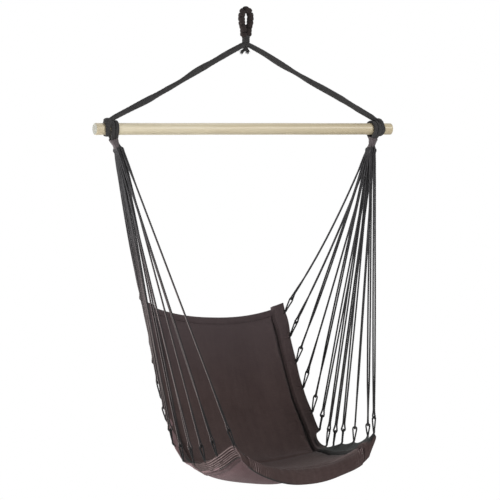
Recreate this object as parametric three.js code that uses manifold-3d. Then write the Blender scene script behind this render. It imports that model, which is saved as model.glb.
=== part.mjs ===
// A hammock chair: a hitched rope eye, a rope bridle, a wooden spreader bar, two fans of doubled cords
// and a padded cloth seat laced to the cords along its side hems.
// Millimetres, +Z up, X along the bar, the sitter faces -Y. The origin is where a hook carries the eye.
import * as THREE from "three";
import { mergeVertices } from "three/addons/utils/BufferGeometryUtils.js";
import Module from "manifold-3d";

const wasm = await Module();
wasm.setup();

// Driving sizes

// Hanging loop
const loopRope = 17; // thickness of the hitched rope round the eye
const eyeWidth = 9.5; // clear width of the eye at its widest
const eyeHeight = 42; // clear height of the eye
const loopHeight = 70; // from the hang point down to the throat
const limbGap = 0.8; // between the two limbs under the eye

// Throat, knot and tails
const throatLength = 11;
const knotRadius = 10.2;
const tailRope = 6.4; // thickness of a tail end where it leaves the knot
const tailTip = 3.6; // thickness of its cut end
const leftTailReach = 15; // sideways
const leftTailDrop = 21; // under the knot
const rightTailReach = 10;
const rightTailDrop = 9;

// Bridle and bar
const bridleRope = 15; // thickness of the soft tubular rope
const barLength = 990;
const barDiameter = 35.5;
const barEdge = 2.2; // rounding of the bar's end edges
const barDrop = 347; // from the hang point down to the bar's axis
const hitchInset = 35; // from the bar's end to the middle of the rope's winding
const hitchWidth = 19; // the rope is pressed flat where it is wound
const hitchThickness = 4.5;

// Slings, necks and crowns
const slingInset = 62; // from the bar's end to the middle of the pair of slings
const slingWidth = 12.6; // one flattened strand
const slingThickness = 8;
const slingTip = 33; // from the bar's axis down to the foot of the sling
const slingTuck = 4.5; // inner radius of the fold at that foot
const neckRadius = 12.5;
const neckLength = 24;
const neckLeanLeft = 27; // degrees, the bundles are drawn inward by the cords
const neckLeanRight = 12;
const crownHeight = 12;
const crownDepth = 38; // front to back, where the cords leave
const crownWidth = 25; // along the bar

// Cords
const cordsPerSide = 12;
const cordThickness = 5; // one strand of a doubled suspension cord
const strandGap = 0.45; // between the strands of a pair, and between neighbours in the crown
const laceThickness = 4.5;
const laceLoopLength = 48; // from the hem's edge to the top of a lacing loop
const linkSlack = 0.7; // between the two cords of a link

// Seat
const seatLength = 940; // along the cloth, from the top of the back to the foot of the front band
const seatHalfWidth = 257; // from the middle to the outer edge of the hem, at the widest
const backHeight = 420; // from the side hem's top corner down to its bend
const backLean = 261; // how far the top corner lies behind the bend
const panDepth = 372; // from the side hem's bend forward to the front corner
const seatDrop = 533; // from the bar's axis down to the top corner of the side hem
const bendForward = 18; // how far the bend lies before the bar's axis
const hemWidth = 36;
const hemThickness = 9;
const scallopDepth = 5; // how far the hem draws in between two lacing loops
const laceInset = 17; // from the outer edge of the hem to the lacing inside it
const padThickness = 26;
const padEdgeThickness = 10;
const topMargin = 22; // along the hem, from its top end to the first loop
const frontMargin = 50; // along the hem, from the last loop to its lower end
const bandWidth = 48; // front band
const topHemWidth = 22;
const seatTwist = 30; // most that one side of the soft seat hangs higher than its middle
const seatDrift = 20; // most that the seat's middle hangs sideways of the bar's

// Clearances
const seatGap = 0.4; // between pieces that bear on each other
const seamGap = 0.95; // between the seat's cloth pieces
const laceClearance = 0.5; // round the lacing in its hem
const weld = 1e-4; // points closer than this are one

const fullTurn = 2 * Math.PI;
const upward = new THREE.Vector3(0, 0, 1);
const backward = new THREE.Vector3(0, 1, 0);
const sideways = new THREE.Vector3(1, 0, 0);

// Helpers

const radians = (degrees) => (degrees * Math.PI) / 180;
const mix = (a, b, share) => a + (b - a) * share;
const nudgeShare = 1e-3; // step for measuring a surface's direction
const vector = (x, y, z) => new THREE.Vector3(x, y, z);

// Smooth value through evenly spaced shares.
function along(shares, place) {
  const step = Math.min(Math.max(place, 0), 1) * (shares.length - 1);
  const first = Math.min(Math.floor(step), shares.length - 2);
  const at = (i) => shares[Math.min(Math.max(i, 0), shares.length - 1)];
  const [a, b, c, d] = [at(first - 1), at(first), at(first + 1), at(first + 2)];
  const t = step - first;
  return b + 0.5 * t * (c - a + t * (2 * a - 5 * b + 4 * c - d + t * (3 * (b - c) + d - a)));
}

function geometryOf(positions, faces) {
  const geometry = new THREE.BufferGeometry();
  geometry.setAttribute("position", new THREE.Float32BufferAttribute(positions, 3));
  geometry.setIndex(faces);
  geometry.computeVertexNormals();
  return geometry;
}

// A closed tube through stations. Each station has its centre, the two axes of its oval section and
// their half sizes, with the cross product of the axes along the tube.
function sweep(stations, sides) {
  const positions = [];
  const faces = [];
  for (const { centre, across, up, halfWidth, halfHeight } of stations) {
    for (let i = 0; i < sides; i++) {
      const angle = (i / sides) * fullTurn;
      const point = centre.clone();
      point.addScaledVector(across, halfWidth * Math.cos(angle));
      point.addScaledVector(up, halfHeight * Math.sin(angle));
      positions.push(point.x, point.y, point.z);
    }
  }
  for (let s = 0; s + 1 < stations.length; s++) {
    for (let i = 0; i < sides; i++) {
      const next = (i + 1) % sides;
      const [a, b] = [s * sides + i, s * sides + next];
      faces.push(a, b, b + sides, a, b + sides, a + sides);
    }
  }
  const last = (stations.length - 1) * sides;
  for (let i = 1; i + 1 < sides; i++) {
    faces.push(0, i + 1, i, last, last + i, last + i + 1);
  }
  return geometryOf(positions, faces);
}

function tangents(points) {
  return points.map((point, i) => {
    const before = points[Math.max(i - 1, 0)];
    const after = points[Math.min(i + 1, points.length - 1)];
    const arriving = point.clone().sub(before).normalize();
    const leaving = after.clone().sub(point).normalize();
    return arriving.add(leaving).normalize();
  });
}

// A tube whose section is turned so that its up axis follows the given directions.
function flatTube(points, ups, halfWidths, halfHeights, sides) {
  const directions = tangents(points);
  return sweep(
    points.map((centre, i) => {
      const across = ups[i].clone().cross(directions[i]).normalize();
      const up = directions[i].clone().cross(across);
      return { centre, across, up, halfWidth: halfWidths[i], halfHeight: halfHeights[i] };
    }),
    sides,
  );
}

// A round cord. The section is carried along without twist, and the end faces may be given a plane.
function cord(points, radii, sides, firstNormal, lastNormal) {
  const directions = tangents(points);
  if (firstNormal) directions[0] = firstNormal;
  if (lastNormal) directions[points.length - 1] = lastNormal;
  let up = Math.abs(directions[0].y) > 0.9 ? sideways.clone() : backward.clone();
  return sweep(
    points.map((centre, i) => {
      const across = up.clone().cross(directions[i]).normalize();
      up = directions[i].clone().cross(across);
      const radius = radii[i] ?? radii;
      return { centre, across, up, halfWidth: radius, halfHeight: radius };
    }),
    sides,
  );
}

// A closed slab round a surface: pointAt gives its middle, thicknessAt its thickness.
function slab(pointAt, thicknessAt, longSteps, crossSteps) {
  const positions = [];
  const faces = [];
  const index = (i, j, layer) => (i * (crossSteps + 1) + j) * 2 + layer;
  for (let i = 0; i <= longSteps; i++) {
    for (let j = 0; j <= crossSteps; j++) {
      const [u, v] = [i / longSteps, j / crossSteps];
      const alongU = pointAt(u + nudgeShare, v).sub(pointAt(u - nudgeShare, v));
      const alongV = pointAt(u, v + nudgeShare).sub(pointAt(u, v - nudgeShare));
      const normal = alongU.cross(alongV).normalize();
      const half = thicknessAt(u, v) / 2;
      for (const offset of [half, -half]) {
        const point = pointAt(u, v).addScaledVector(normal, offset);
        positions.push(point.x, point.y, point.z);
      }
    }
  }
  const quad = (a, b, c, d) => faces.push(a, b, c, a, c, d);
  for (let i = 0; i < longSteps; i++) {
    for (let j = 0; j < crossSteps; j++) {
      quad(index(i, j, 0), index(i + 1, j, 0), index(i + 1, j + 1, 0), index(i, j + 1, 0));
      quad(index(i, j, 1), index(i, j + 1, 1), index(i + 1, j + 1, 1), index(i + 1, j, 1));
    }
  }
  for (let i = 0; i < longSteps; i++) {
    quad(index(i, 0, 0), index(i, 0, 1), index(i + 1, 0, 1), index(i + 1, 0, 0));
    const end = crossSteps;
    quad(index(i, end, 0), index(i + 1, end, 0), index(i + 1, end, 1), index(i, end, 1));
  }
  for (let j = 0; j < crossSteps; j++) {
    quad(index(0, j, 0), index(0, j + 1, 0), index(0, j + 1, 1), index(0, j, 1));
    const end = longSteps;
    quad(index(end, j, 0), index(end, j, 1), index(end, j + 1, 1), index(end, j + 1, 0));
  }
  return geometryOf(positions, faces);
}

function solid(geometry) {
  const bare = geometry.clone();
  bare.deleteAttribute("normal");
  bare.deleteAttribute("uv");
  const merged = mergeVertices(bare, weld);
  const vertProperties = new Float32Array(merged.getAttribute("position").array);
  const triVerts = new Uint32Array(merged.getIndex().array);
  return new wasm.Manifold(new wasm.Mesh({ numProp: 3, vertProperties, triVerts }));
}

function cut(geometry, cutter) {
  const mesh = solid(geometry).subtract(solid(cutter)).getMesh();
  return geometryOf(Array.from(mesh.vertProperties), Array.from(mesh.triVerts));
}

// Least clear distance of a tube to itself, measured on its points: two points are compared where the
// tube between them is longer than the given length.
function leastGap(points, thickness, apart) {
  const lengths = [0];
  for (let i = 1; i < points.length; i++) {
    lengths.push(lengths[i - 1] + points[i].distanceTo(points[i - 1]));
  }
  let least = Infinity;
  for (let i = 0; i < points.length; i++) {
    for (let j = i + 1; j < points.length; j++) {
      if (lengths[j] - lengths[i] < apart) continue;
      least = Math.min(least, points[i].distanceTo(points[j]) - thickness);
    }
  }
  return least;
}

// Materials

const materials = {
  rope: () => new THREE.MeshStandardMaterial({ color: 0x3c3a3c, roughness: 0.95, metalness: 0 }),
  cord: () => new THREE.MeshStandardMaterial({ color: 0x403e40, roughness: 0.9, metalness: 0 }),
  binding: () => new THREE.MeshStandardMaterial({ color: 0x7d7678, roughness: 0.9, metalness: 0 }),
  wood: () => new THREE.MeshStandardMaterial({ color: 0xd9c7a0, roughness: 0.6, metalness: 0 }),
  cloth: () => new THREE.MeshStandardMaterial({ color: 0x483a38, roughness: 0.95, metalness: 0 }),
};

const hammockChair = new THREE.Group();

function add(name, geometry, material) {
  const mesh = new THREE.Mesh(geometry, materials[material]());
  mesh.name = name;
  hammockChair.add(mesh);
}

// Hanging loop: the rope goes up one limb, round the eye and down the other.

const loopRadius = loopRope / 2;
const limbOffset = loopRadius + limbGap / 2;
const eyeOffset = loopRadius + eyeWidth / 2;

function hangingLoop() {
  const eyeShares = [1.2, 0.93, 0.67, 0.4, 0.17]; // of the eye's height, below the hang point
  const spreadShares = [0.12, 0.5, 0.92, 1.02, 0.9]; // from the limbs' offset to the eye's
  const eyeSide = eyeShares.map((share, i) =>
    vector(mix(limbOffset, eyeOffset, spreadShares[i]), 0, -share * eyeHeight),
  );
  const foot = vector(limbOffset, 0, -loopHeight);
  const halfway = vector(limbOffset, 0, (eyeSide[0].z - loopHeight) / 2);
  const limb = [foot, halfway, ...eyeSide];
  const arcSteps = 8;
  const shoulder = limb[limb.length - 1];
  const arc = [];
  for (let i = 1; i < arcSteps; i++) {
    const angle = (i / arcSteps) * Math.PI;
    const x = shoulder.x * Math.cos(angle);
    arc.push(vector(x, 0, mix(shoulder.z, loopRadius, Math.sin(angle))));
  }
  const other = limb.map((point) => vector(-point.x, 0, point.z)).reverse();
  const points = [...limb, ...arc, ...other];
  return cord(points, loopRadius, 8, upward.clone(), upward.clone().negate());
}
add("hanging_loop", hangingLoop(), "rope");

// Throat: narrows from the two limbs side by side to the width of the knot.

const throatTop = -loopHeight - seatGap;
const throatBottom = throatTop - throatLength;
const knotCentre = vector(0, 0, throatBottom - seatGap - knotRadius);

function throat() {
  const widthShares = [1, 0.78, 0.3, 0]; // from the knot's radius to the limbs' outer edge
  const outer = limbOffset + loopRadius;
  const stations = widthShares.map((share, i) => ({
    centre: vector(0, 0, mix(throatTop, throatBottom, i / (widthShares.length - 1))),
    across: sideways,
    up: backward.clone().negate(),
    halfWidth: mix(knotRadius, outer, share),
    halfHeight: mix(knotRadius, loopRadius, share),
  }));
  return sweep(stations, 16);
}
add("throat_binding", throat(), "rope");

const knot = new THREE.SphereGeometry(knotRadius, 16, 10);
knot.rotateX(Math.PI / 2);
knot.translate(knotCentre.x, knotCentre.y, knotCentre.z);
add("crotch_knot", knot, "rope");

// The two tails leave the knot one before the other: forward is -1 for the one behind.
function tail(reach, drop, forward) {
  const top = knotCentre.clone().addScaledVector(upward, -knotRadius - seatGap);
  const leaveShare = 0.1; // how far sideways the tail starts, of its reach
  const bendShare = 0.35;
  const beside = (-forward * (tailRope + seatGap)) / 2;
  const points = [
    vector(reach * leaveShare, beside, top.z),
    vector(reach * bendShare, beside, top.z - drop / 2),
    vector(reach, beside * (1 + bendShare), top.z - drop),
  ];
  const radii = [0, 0.5, 1].map((share) => mix(tailRope, tailTip, share) / 2);
  return cord(points, radii, 8, upward.clone().negate());
}
add("tail_left", tail(-leftTailReach, leftTailDrop, -1), "rope");
add("tail_right", tail(rightTailReach, rightTailDrop, 1), "rope");

// Spreader bar

const barRadius = barDiameter / 2;
const hitchPlace = barLength / 2 - hitchInset;
const slingPlace = barLength / 2 - slingInset;

function spreaderBar() {
  const half = barLength / 2;
  const roundSteps = 3;
  const profile = [vector(0, -half, 0)];
  for (let i = 0; i <= roundSteps; i++) {
    const angle = (i / roundSteps) * (Math.PI / 2);
    const r = barRadius - barEdge + barEdge * Math.sin(angle);
    profile.push(vector(r, -half + barEdge - barEdge * Math.cos(angle), 0));
  }
  const mirrored = profile.map((p) => vector(p.x, -p.y, 0)).reverse();
  const outline = [...profile, ...mirrored].map((p) => new THREE.Vector2(p.x, p.y));
  const bar = new THREE.LatheGeometry(outline, 28);
  bar.rotateZ(-Math.PI / 2);
  bar.translate(0, 0, -barDrop);
  return bar;
}
add("spreader_bar", spreaderBar(), "wood");

// Bridle legs: from the knot over the slings to the bar, then wound flat round it.

const slingOuter = barRadius + seatGap + slingThickness;
const bridleRadius = bridleRope / 2;

function bridleLeg(side) {
  const lean = Math.atan2(barDrop + knotCentre.z - slingOuter - bridleRadius, slingPlace);
  const overSling = slingOuter + seatGap + bridleRadius / Math.cos(lean);
  const direction = vector(side * slingPlace, 0, -barDrop + overSling - knotCentre.z).normalize();
  const start = knotCentre.clone().addScaledVector(direction, knotRadius + seatGap);
  const over = vector(side * slingPlace, 0, -barDrop + overSling);
  const legNormal = backward.clone().multiplyScalar(side).cross(direction).negate();
  const points = [];
  const ups = [];
  const halfWidths = [];
  const halfHeights = [];
  const station = (point, up, halfWidth, halfHeight) => {
    points.push(point);
    ups.push(up);
    halfWidths.push(halfWidth);
    halfHeights.push(halfHeight);
  };
  const legSteps = 6;
  for (let i = 0; i <= legSteps; i++) {
    station(start.clone().lerp(over, i / legSteps), legNormal, bridleRadius, bridleRadius);
  }
  // Past the slings the leg comes down to the bar, turns toward the sitter over its top, and is wound
  // round it pressed flat.
  const widthShare = 0.92; // of the leg's half thickness, that it keeps across while it turns
  const heightShares = [0.85, 0.7]; // and upright
  const slingEnd = slingPlace + slingWidth + 2 * seatGap;
  const beforeTurn = hitchPlace - bridleRadius / 2;
  [slingEnd, beforeTurn].forEach((place, i) => {
    const halfHeight = bridleRadius * heightShares[i];
    const carried = i === 0 ? slingOuter : mix(slingOuter, barRadius, 0.5);
    const lift = carried + 2 * seatGap + halfHeight;
    station(vector(side * place, 0, -barDrop + lift), upward, bridleRadius * widthShare, halfHeight);
  });
  const windingStart = 12;
  const windingFlat = 75; // where the rope has come down to its wound thickness
  const windingEnd = 300;
  const windingSteps = 22;
  for (let i = 0; i <= windingSteps; i++) {
    const angle = mix(windingStart, windingEnd, i / windingSteps);
    const flat = THREE.MathUtils.smoothstep(angle, windingStart, windingFlat);
    const halfHeight = mix(bridleRadius * heightShares[1], hitchThickness / 2, flat);
    const halfWidth = mix(bridleRadius * widthShare, hitchWidth / 2, flat);
    const radial = vector(0, -Math.sin(radians(angle)), Math.cos(radians(angle)));
    const place = vector(side * hitchPlace, 0, -barDrop);
    place.addScaledVector(radial, barRadius + 2 * seatGap + halfHeight);
    station(place, radial, halfWidth, halfHeight);
  }
  const winding = points.slice(-windingSteps - 1);
  console.log("least gap of the winding to itself", leastGap(winding, hitchThickness, hitchWidth).toFixed(2));
  return flatTube(points, ups, halfWidths, halfHeights, 10);
}

// Slings: each strand goes over the bar and both its ends meet in the neck.

function sling(side, place) {
  const inner = barRadius + seatGap;
  // Outline of a belt round the bar and down to a rounded foot, at a distance from the bar's axis.
  const belt = (radius, foot, tuck) => {
    const shape = [];
    const drop = foot - tuck;
    const contact = Math.acos((radius - tuck) / drop);
    const [wrapSteps, footSteps] = [22, 5];
    for (let i = 0; i <= wrapSteps; i++) {
      const angle = mix(-Math.PI / 2 + contact, 1.5 * Math.PI - contact, i / wrapSteps);
      shape.push(new THREE.Vector2(radius * Math.cos(angle), radius * Math.sin(angle)));
    }
    for (let i = 0; i <= footSteps; i++) {
      const angle = mix(1.5 * Math.PI - contact, 1.5 * Math.PI + contact, i / footSteps);
      shape.push(new THREE.Vector2(tuck * Math.cos(angle), -drop + tuck * Math.sin(angle)));
    }
    return shape;
  };
  const shape = new THREE.Shape(belt(inner + slingThickness, slingTip, slingTuck + slingThickness));
  shape.holes.push(new THREE.Path(belt(inner, slingTip - slingThickness, slingTuck)));
  const geometry = new THREE.ExtrudeGeometry(shape, { depth: slingWidth, bevelEnabled: false });
  // The outline's first axis becomes -Y and its second stays up, with the width along X.
  const turn = new THREE.Matrix4().makeBasis(backward.clone().negate(), upward, sideways.clone().negate());
  geometry.applyMatrix4(turn);
  geometry.translate(side * slingPlace + place + slingWidth / 2, 0, -barDrop);
  return geometry;
}

// Neck and crown of one cord bundle

const neckTop = -barDrop - slingTip - seatGap;

function bundleFrame(side) {
  const lean = radians(side < 0 ? neckLeanLeft : neckLeanRight);
  const down = vector(-side * Math.sin(lean), 0, -Math.cos(lean));
  const across = down.clone().cross(backward).normalize();
  const top = vector(side * slingPlace, 0, neckTop);
  const neckEnd = top.clone().addScaledVector(down, neckLength);
  const crownStart = neckEnd.clone().addScaledVector(down, seatGap);
  const crownEnd = crownStart.clone().addScaledVector(down, crownHeight);
  return { down, across, top, neckEnd, crownStart, crownEnd };
}

function neck(side) {
  const { down, across, top, neckEnd } = bundleFrame(side);
  const bulgeShares = [1.0, 1.08, 0.96, 0.9, 0.94, 0.98]; // of the neck's radius
  const stations = bulgeShares.map((bulge, i) => {
    const share = i / (bulgeShares.length - 1);
    const turned = sideways.clone().lerp(across, Math.min(1, 3 * share)).normalize();
    const halfWidth = neckRadius * bulge;
    const centre = top.clone().lerp(neckEnd, share);
    return { centre, across: turned, up: backward.clone().negate(), halfWidth, halfHeight: halfWidth };
  });
  return sweep(stations, 16);
}

function crown(side) {
  const { across, crownStart, crownEnd } = bundleFrame(side);
  const flareShares = [0, 0.12, 0.55, 0.9, 1]; // from the neck's radius to the crown's outline
  const stations = flareShares.map((flare, i) => ({
    centre: crownStart.clone().lerp(crownEnd, i / (flareShares.length - 1)),
    across,
    up: backward.clone().negate(),
    halfWidth: mix(neckRadius, crownWidth / 2, flare),
    halfHeight: mix(neckRadius, crownDepth / 2, flare),
  }));
  return sweep(stations, 16);
}

// Seat cloth. Its middle surface is set by the line of the side hems and the line of the middle, each a
// side view from the top of the back over the bend to the foot of the front band.

const seatTop = -barDrop - seatDrop;
const bendLevel = seatTop - backHeight;

// Points are pairs of shares: the place, of the back's lean behind the bend or of the pan's depth
// before it, and the level above the bend, of the back's height.
function sideLine(pointShares) {
  const points = pointShares.map(([place, level]) =>
    vector(0, place * (place > 0 ? backLean : panDepth) - bendForward, bendLevel + level * backHeight),
  );
  const curve = new THREE.CatmullRomCurve3(points, false, "centripetal");
  curve.arcLengthDivisions = 400;
  return curve;
}

const hemShares = [
  [1, 1],
  [0.835, 0.8],
  [0.575, 0.455],
  [0.41, 0.3],
  [0.22, 0.157],
  [0, 0.03],
  [-0.185, -0.017],
  [-0.39, 0.005],
  [-0.605, 0.033],
  [-0.81, 0.08],
  [-1, 0.15],
  [-1.03, 0.09],
  [-1.035, 0.03],
];
const middleShares = [
  [1.015, 0.9],
  [0.95, 0.715],
  [0.843, 0.535],
  [0.67, 0.31],
  [0.44, 0.09],
  [0.134, -0.07],
  [-0.175, -0.14],
  [-0.457, -0.157],
  [-0.753, -0.13],
  [-0.965, -0.062],
  [-1.027, -0.09],
  [-1.038, -0.15],
];
const hemLine = sideLine(hemShares);
const middleLine = sideLine(middleShares);

// Evenly spaced from the top of the back to the foot of the front band.
const widthShares = [0.94, 0.93, 0.948, 0.972, 1.003, 1.002, 0.969, 0.953, 0.953, 0.934, 0.83];
const twistShares = [0.32, 0.42, 0.63, 0.9, 0.97, 0.65, -0.3, -0.6, -0.57, -0.4, -0.05];
const driftShares = [0.65, 0.7, 0.75, 0.75, 0.75, 0.4, -0.15, -0.6, -0.7, -0.7, -0.3];
const sagPower = 2.3;

// share: along the cloth; across: from -1 at the left hem's outer edge to 1 at the right one's.
function cloth(share, across) {
  const hem = hemLine.getPointAt(Math.min(Math.max(share, 0), 1));
  const middle = middleLine.getPointAt(Math.min(Math.max(share, 0), 1));
  const sag = 1 - Math.abs(across) ** sagPower;
  return vector(
    across * seatHalfWidth * along(widthShares, share) + seatDrift * along(driftShares, share),
    mix(hem.y, middle.y, sag),
    mix(hem.z, middle.z, sag) - across * seatTwist * along(twistShares, share),
  );
}

const scallopPower = 0.8; // under 1 the hem's edge is fuller between the loops than at them
const hemShortSteps = 5; // along the hem, between two loops
const bandSteps = 3; // as long as the hem's, so that their seams lie side by side
const crossSteps = 12; // across the pad, the band and the top hem

const lengthShare = (length) => length / seatLength;
const widthAt = (share) => seatHalfWidth * along(widthShares, share);

const loopPitch = (seatLength - topMargin - frontMargin) / (cordsPerSide - 1);
// The right hem is bunched up in places, which brings some of its loops nearer to their neighbours.
const rightLoopShifts = [0, 0, 0, 0, 3, -5, 8, 3, 0, 0, 16, 0];
const loopPlace = (k, side) =>
  lengthShare(topMargin + (k - 1) * loopPitch + (side > 0 ? rightLoopShifts[k - 1] : 0));

// How far the hem's outer edge lies inside the line through the lacing loops.
function scallop(share) {
  const phase = (share * seatLength - topMargin) / loopPitch;
  return scallopDepth * Math.abs(Math.sin(Math.PI * phase)) ** scallopPower;
}

function hem(side) {
  const inner = hemWidth;
  const point = (u, v) => {
    const inset = mix(inner, scallop(u), v);
    return cloth(u, side * (1 - inset / widthAt(u)));
  };
  const placed = (u, v) => point(u, side > 0 ? v : 1 - v);
  const roundShares = [1, 1, 0.95, 0.6];
  const thickness = (u, v) => hemThickness * along(roundShares, side > 0 ? v : 1 - v);
  return slab(placed, thickness, hemShortSteps * cordsPerSide, 3);
}

function seatPad() {
  const first = lengthShare(topHemWidth + seamGap);
  const last = 1 - lengthShare(bandWidth + seamGap);
  const point = (u, v) => {
    const share = mix(first, last, u);
    const reach = 1 - (hemWidth + seamGap) / widthAt(share);
    return cloth(share, reach * (2 * v - 1));
  };
  const rimPower = 4; // the pad keeps its thickness until close to its edges
  const rim = (x) => 1 - Math.abs(2 * x - 1) ** rimPower;
  const thickness = (u, v) => mix(padEdgeThickness, padThickness, rim(u) * rim(v));
  return slab(point, thickness, 3 * crossSteps, crossSteps);
}

function crossStrip(first, last, thicknessShares) {
  const point = (u, v) => {
    const share = mix(first, last, u);
    const reach = 1 - (hemWidth + seamGap) / widthAt(share);
    return cloth(share, reach * (2 * v - 1));
  };
  const thickness = (u) => padEdgeThickness * along(thicknessShares, u);
  return slab(point, thickness, bandSteps, crossSteps);
}

// Lacing and suspension cords

const cordRadius = cordThickness / 2;
const laceRadius = laceThickness / 2;
const linkRadius = cordRadius + laceRadius + linkSlack;
const strandPitch = cordThickness + strandGap;

// Frame of one link: the loop's foot on the hem, the pull toward the crown, the direction along the
// hem square to it, and the normal of both.
function link(side, k) {
  const place = loopPlace(k, side);
  const foot = cloth(place, side);
  const top = crownPlace(side, k);
  const pull = top.clone().sub(foot).normalize();
  const [before, after] = [place - nudgeShare, place + nudgeShare];
  const ahead = cloth(after, side).sub(cloth(before, side)).normalize();
  const slant = Math.sqrt(1 - ahead.dot(pull) ** 2);
  const spread = ahead.clone().addScaledVector(pull, -ahead.dot(pull)).normalize();
  const normal = pull.clone().cross(spread);
  if (normal.x < 0) normal.negate();
  return { foot, top, pull, spread, normal, slant };
}

// Where a doubled cord leaves the crown: two staggered columns, from the front cord to the back one.
function crownPlace(side, k) {
  const { across, crownEnd, down } = bundleFrame(side);
  const column = k % 2 ? -1 : 1;
  const row = (cordsPerSide + 1) / 2 - k;
  const place = crownEnd.clone().addScaledVector(down, seatGap);
  place.addScaledVector(across, column * strandPitch);
  return place.addScaledVector(backward, (row * strandPitch) / 2);
}

const arcSteps = 6;
const slackSteps = 4;
// The cords of the upper back hang a little slack: depth of the bow as a share of the length.
const slackShares = [0.05, 0.035, 0.02, 0.01];

function suspensionCord(side, k) {
  const { foot, top, pull, normal } = link(side, k);
  const { across, down } = bundleFrame(side);
  const arcCentre = foot.clone().addScaledVector(pull, laceLoopLength - laceRadius);
  const joinShare = 3; // of the link's radius: higher up the two strands lie side by side again
  const half = strandPitch / 2;
  const joined = arcCentre.clone().addScaledVector(pull, joinShare * linkRadius);
  const slack = top.distanceTo(joined) * (slackShares[k - 1] ?? 0);
  const strand = (sign) => {
    const upper = top.clone().addScaledVector(across, sign * half);
    const lower = joined.clone().addScaledVector(normal, sign * half);
    const hanging = [upper];
    for (let i = 1; slack > 0 && i < slackSteps; i++) {
      const share = i / slackSteps;
      const point = upper.clone().lerp(lower, share);
      hanging.push(point.addScaledVector(upward, -4 * slack * share * (1 - share)));
    }
    return [...hanging, lower];
  };
  const arc = [];
  for (let i = 0; i <= arcSteps; i++) {
    const angle = (i / arcSteps) * Math.PI;
    const point = arcCentre.clone().addScaledVector(normal, linkRadius * Math.cos(angle));
    arc.push(point.addScaledVector(pull, -linkRadius * Math.sin(angle)));
  }
  const points = [...strand(1), ...arc, ...strand(-1).reverse()];
  return cord(points, cordRadius, 6, down, down.clone().negate());
}

// The lacing runs inside the hem and comes out as a loop at each suspension cord.
function lacingRoute(side) {
  const startShare = 0.12; // of the top margin, where the lacing's end lies
  const spreadShare = 1.6; // a loop's limbs lie so much further apart in the hem than at its edge
  const waistShare = 0.25; // of the loop's length, where its limbs are a link's width apart
  const leastSlant = 0.6; // of the pull to the hem, for the loops that leave it at a low angle
  const channel = (share) => cloth(share, side * (1 - laceInset / widthAt(share)));
  const points = [channel(lengthShare(topMargin * startShare))];
  for (let k = 1; k <= cordsPerSide; k++) {
    const { foot, pull, spread, slant } = link(side, k);
    const apart = lengthShare(linkRadius / Math.max(slant, leastSlant));
    const waist = foot.clone().addScaledVector(pull, laceLoopLength * waistShare);
    const arcCentre = foot.clone().addScaledVector(pull, laceLoopLength - laceRadius - linkRadius);
    const limb = (sign) => [
      channel(loopPlace(k, side) + sign * spreadShare * apart),
      cloth(loopPlace(k, side) + sign * apart, side),
      waist.clone().addScaledVector(spread, sign * linkRadius),
    ];
    points.push(...limb(-1));
    for (let i = 0; i <= arcSteps; i++) {
      const angle = (i / arcSteps) * Math.PI;
      const point = arcCentre.clone().addScaledVector(spread, -linkRadius * Math.cos(angle));
      points.push(point.addScaledVector(pull, linkRadius * Math.sin(angle)));
    }
    points.push(...limb(1).reverse());
  }
  points.push(channel(1 - lengthShare(frontMargin / 2)));
  return points;
}

function lacing(side, radius) {
  return cord(lacingRoute(side), radius, 5);
}

const sides = { left: -1, right: 1 };
for (const [name, side] of Object.entries(sides)) {
  add(`bridle_${name}`, bridleLeg(side), "rope");
  const slingShift = (slingWidth + seatGap) / 2;
  add(`sling_${name}_inner`, sling(side, -side * slingShift), "rope");
  add(`sling_${name}_outer`, sling(side, side * slingShift), "rope");
  add(`neck_${name}`, neck(side), "binding");
  add(`crown_${name}`, crown(side), "cord");
  for (let k = 1; k <= cordsPerSide; k++) {
    add(`cord_${name}_${String(k).padStart(2, "0")}`, suspensionCord(side, k), "cord");
  }
  const gap = leastGap(lacingRoute(side), laceThickness, linkRadius * Math.PI);
  console.log(`least gap of the ${name} lacing to itself`, gap.toFixed(2));
  add(`lacing_${name}`, lacing(side, laceRadius), "cord");
  add(`hem_${name}`, cut(hem(side), lacing(side, laceRadius + laceClearance)), "cloth");
}

add("seat_pad", seatPad(), "cloth");
add("front_band", crossStrip(1 - lengthShare(bandWidth), 1, [1, 1.1, 0.9]), "cloth");
add("top_hem", crossStrip(0, lengthShare(topHemWidth), [0.9, 1.1, 1]), "cloth");

export default hammockChair;
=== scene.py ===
import math

import bmesh
import bpy
import numpy as np
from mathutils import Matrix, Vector


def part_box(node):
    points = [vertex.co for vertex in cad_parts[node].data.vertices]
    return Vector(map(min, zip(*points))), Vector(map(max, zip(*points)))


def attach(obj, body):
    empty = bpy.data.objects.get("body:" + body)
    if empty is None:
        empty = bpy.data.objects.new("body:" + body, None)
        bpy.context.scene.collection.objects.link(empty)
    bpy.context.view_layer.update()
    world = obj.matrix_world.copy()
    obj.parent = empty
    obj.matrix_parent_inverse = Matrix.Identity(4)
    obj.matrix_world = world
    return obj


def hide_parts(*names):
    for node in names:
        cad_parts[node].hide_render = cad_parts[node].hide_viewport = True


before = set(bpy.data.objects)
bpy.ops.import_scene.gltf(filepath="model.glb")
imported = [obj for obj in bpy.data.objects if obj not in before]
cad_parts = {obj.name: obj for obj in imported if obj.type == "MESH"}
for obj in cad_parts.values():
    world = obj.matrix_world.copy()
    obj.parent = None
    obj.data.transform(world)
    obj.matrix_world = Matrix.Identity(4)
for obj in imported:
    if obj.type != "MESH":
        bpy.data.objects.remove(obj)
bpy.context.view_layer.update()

print("hammock chair: frame loaded")

# Camera: level with the bar, turned a little to the left of the front, from far away with a long lens.
cameraView = {
    "azimuth": -27.0,  # degrees
    "distance": 10.0,
    "height": -0.347,
    "lens": 241.4,
    "shift": (0.0082, -0.2422),
}


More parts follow.
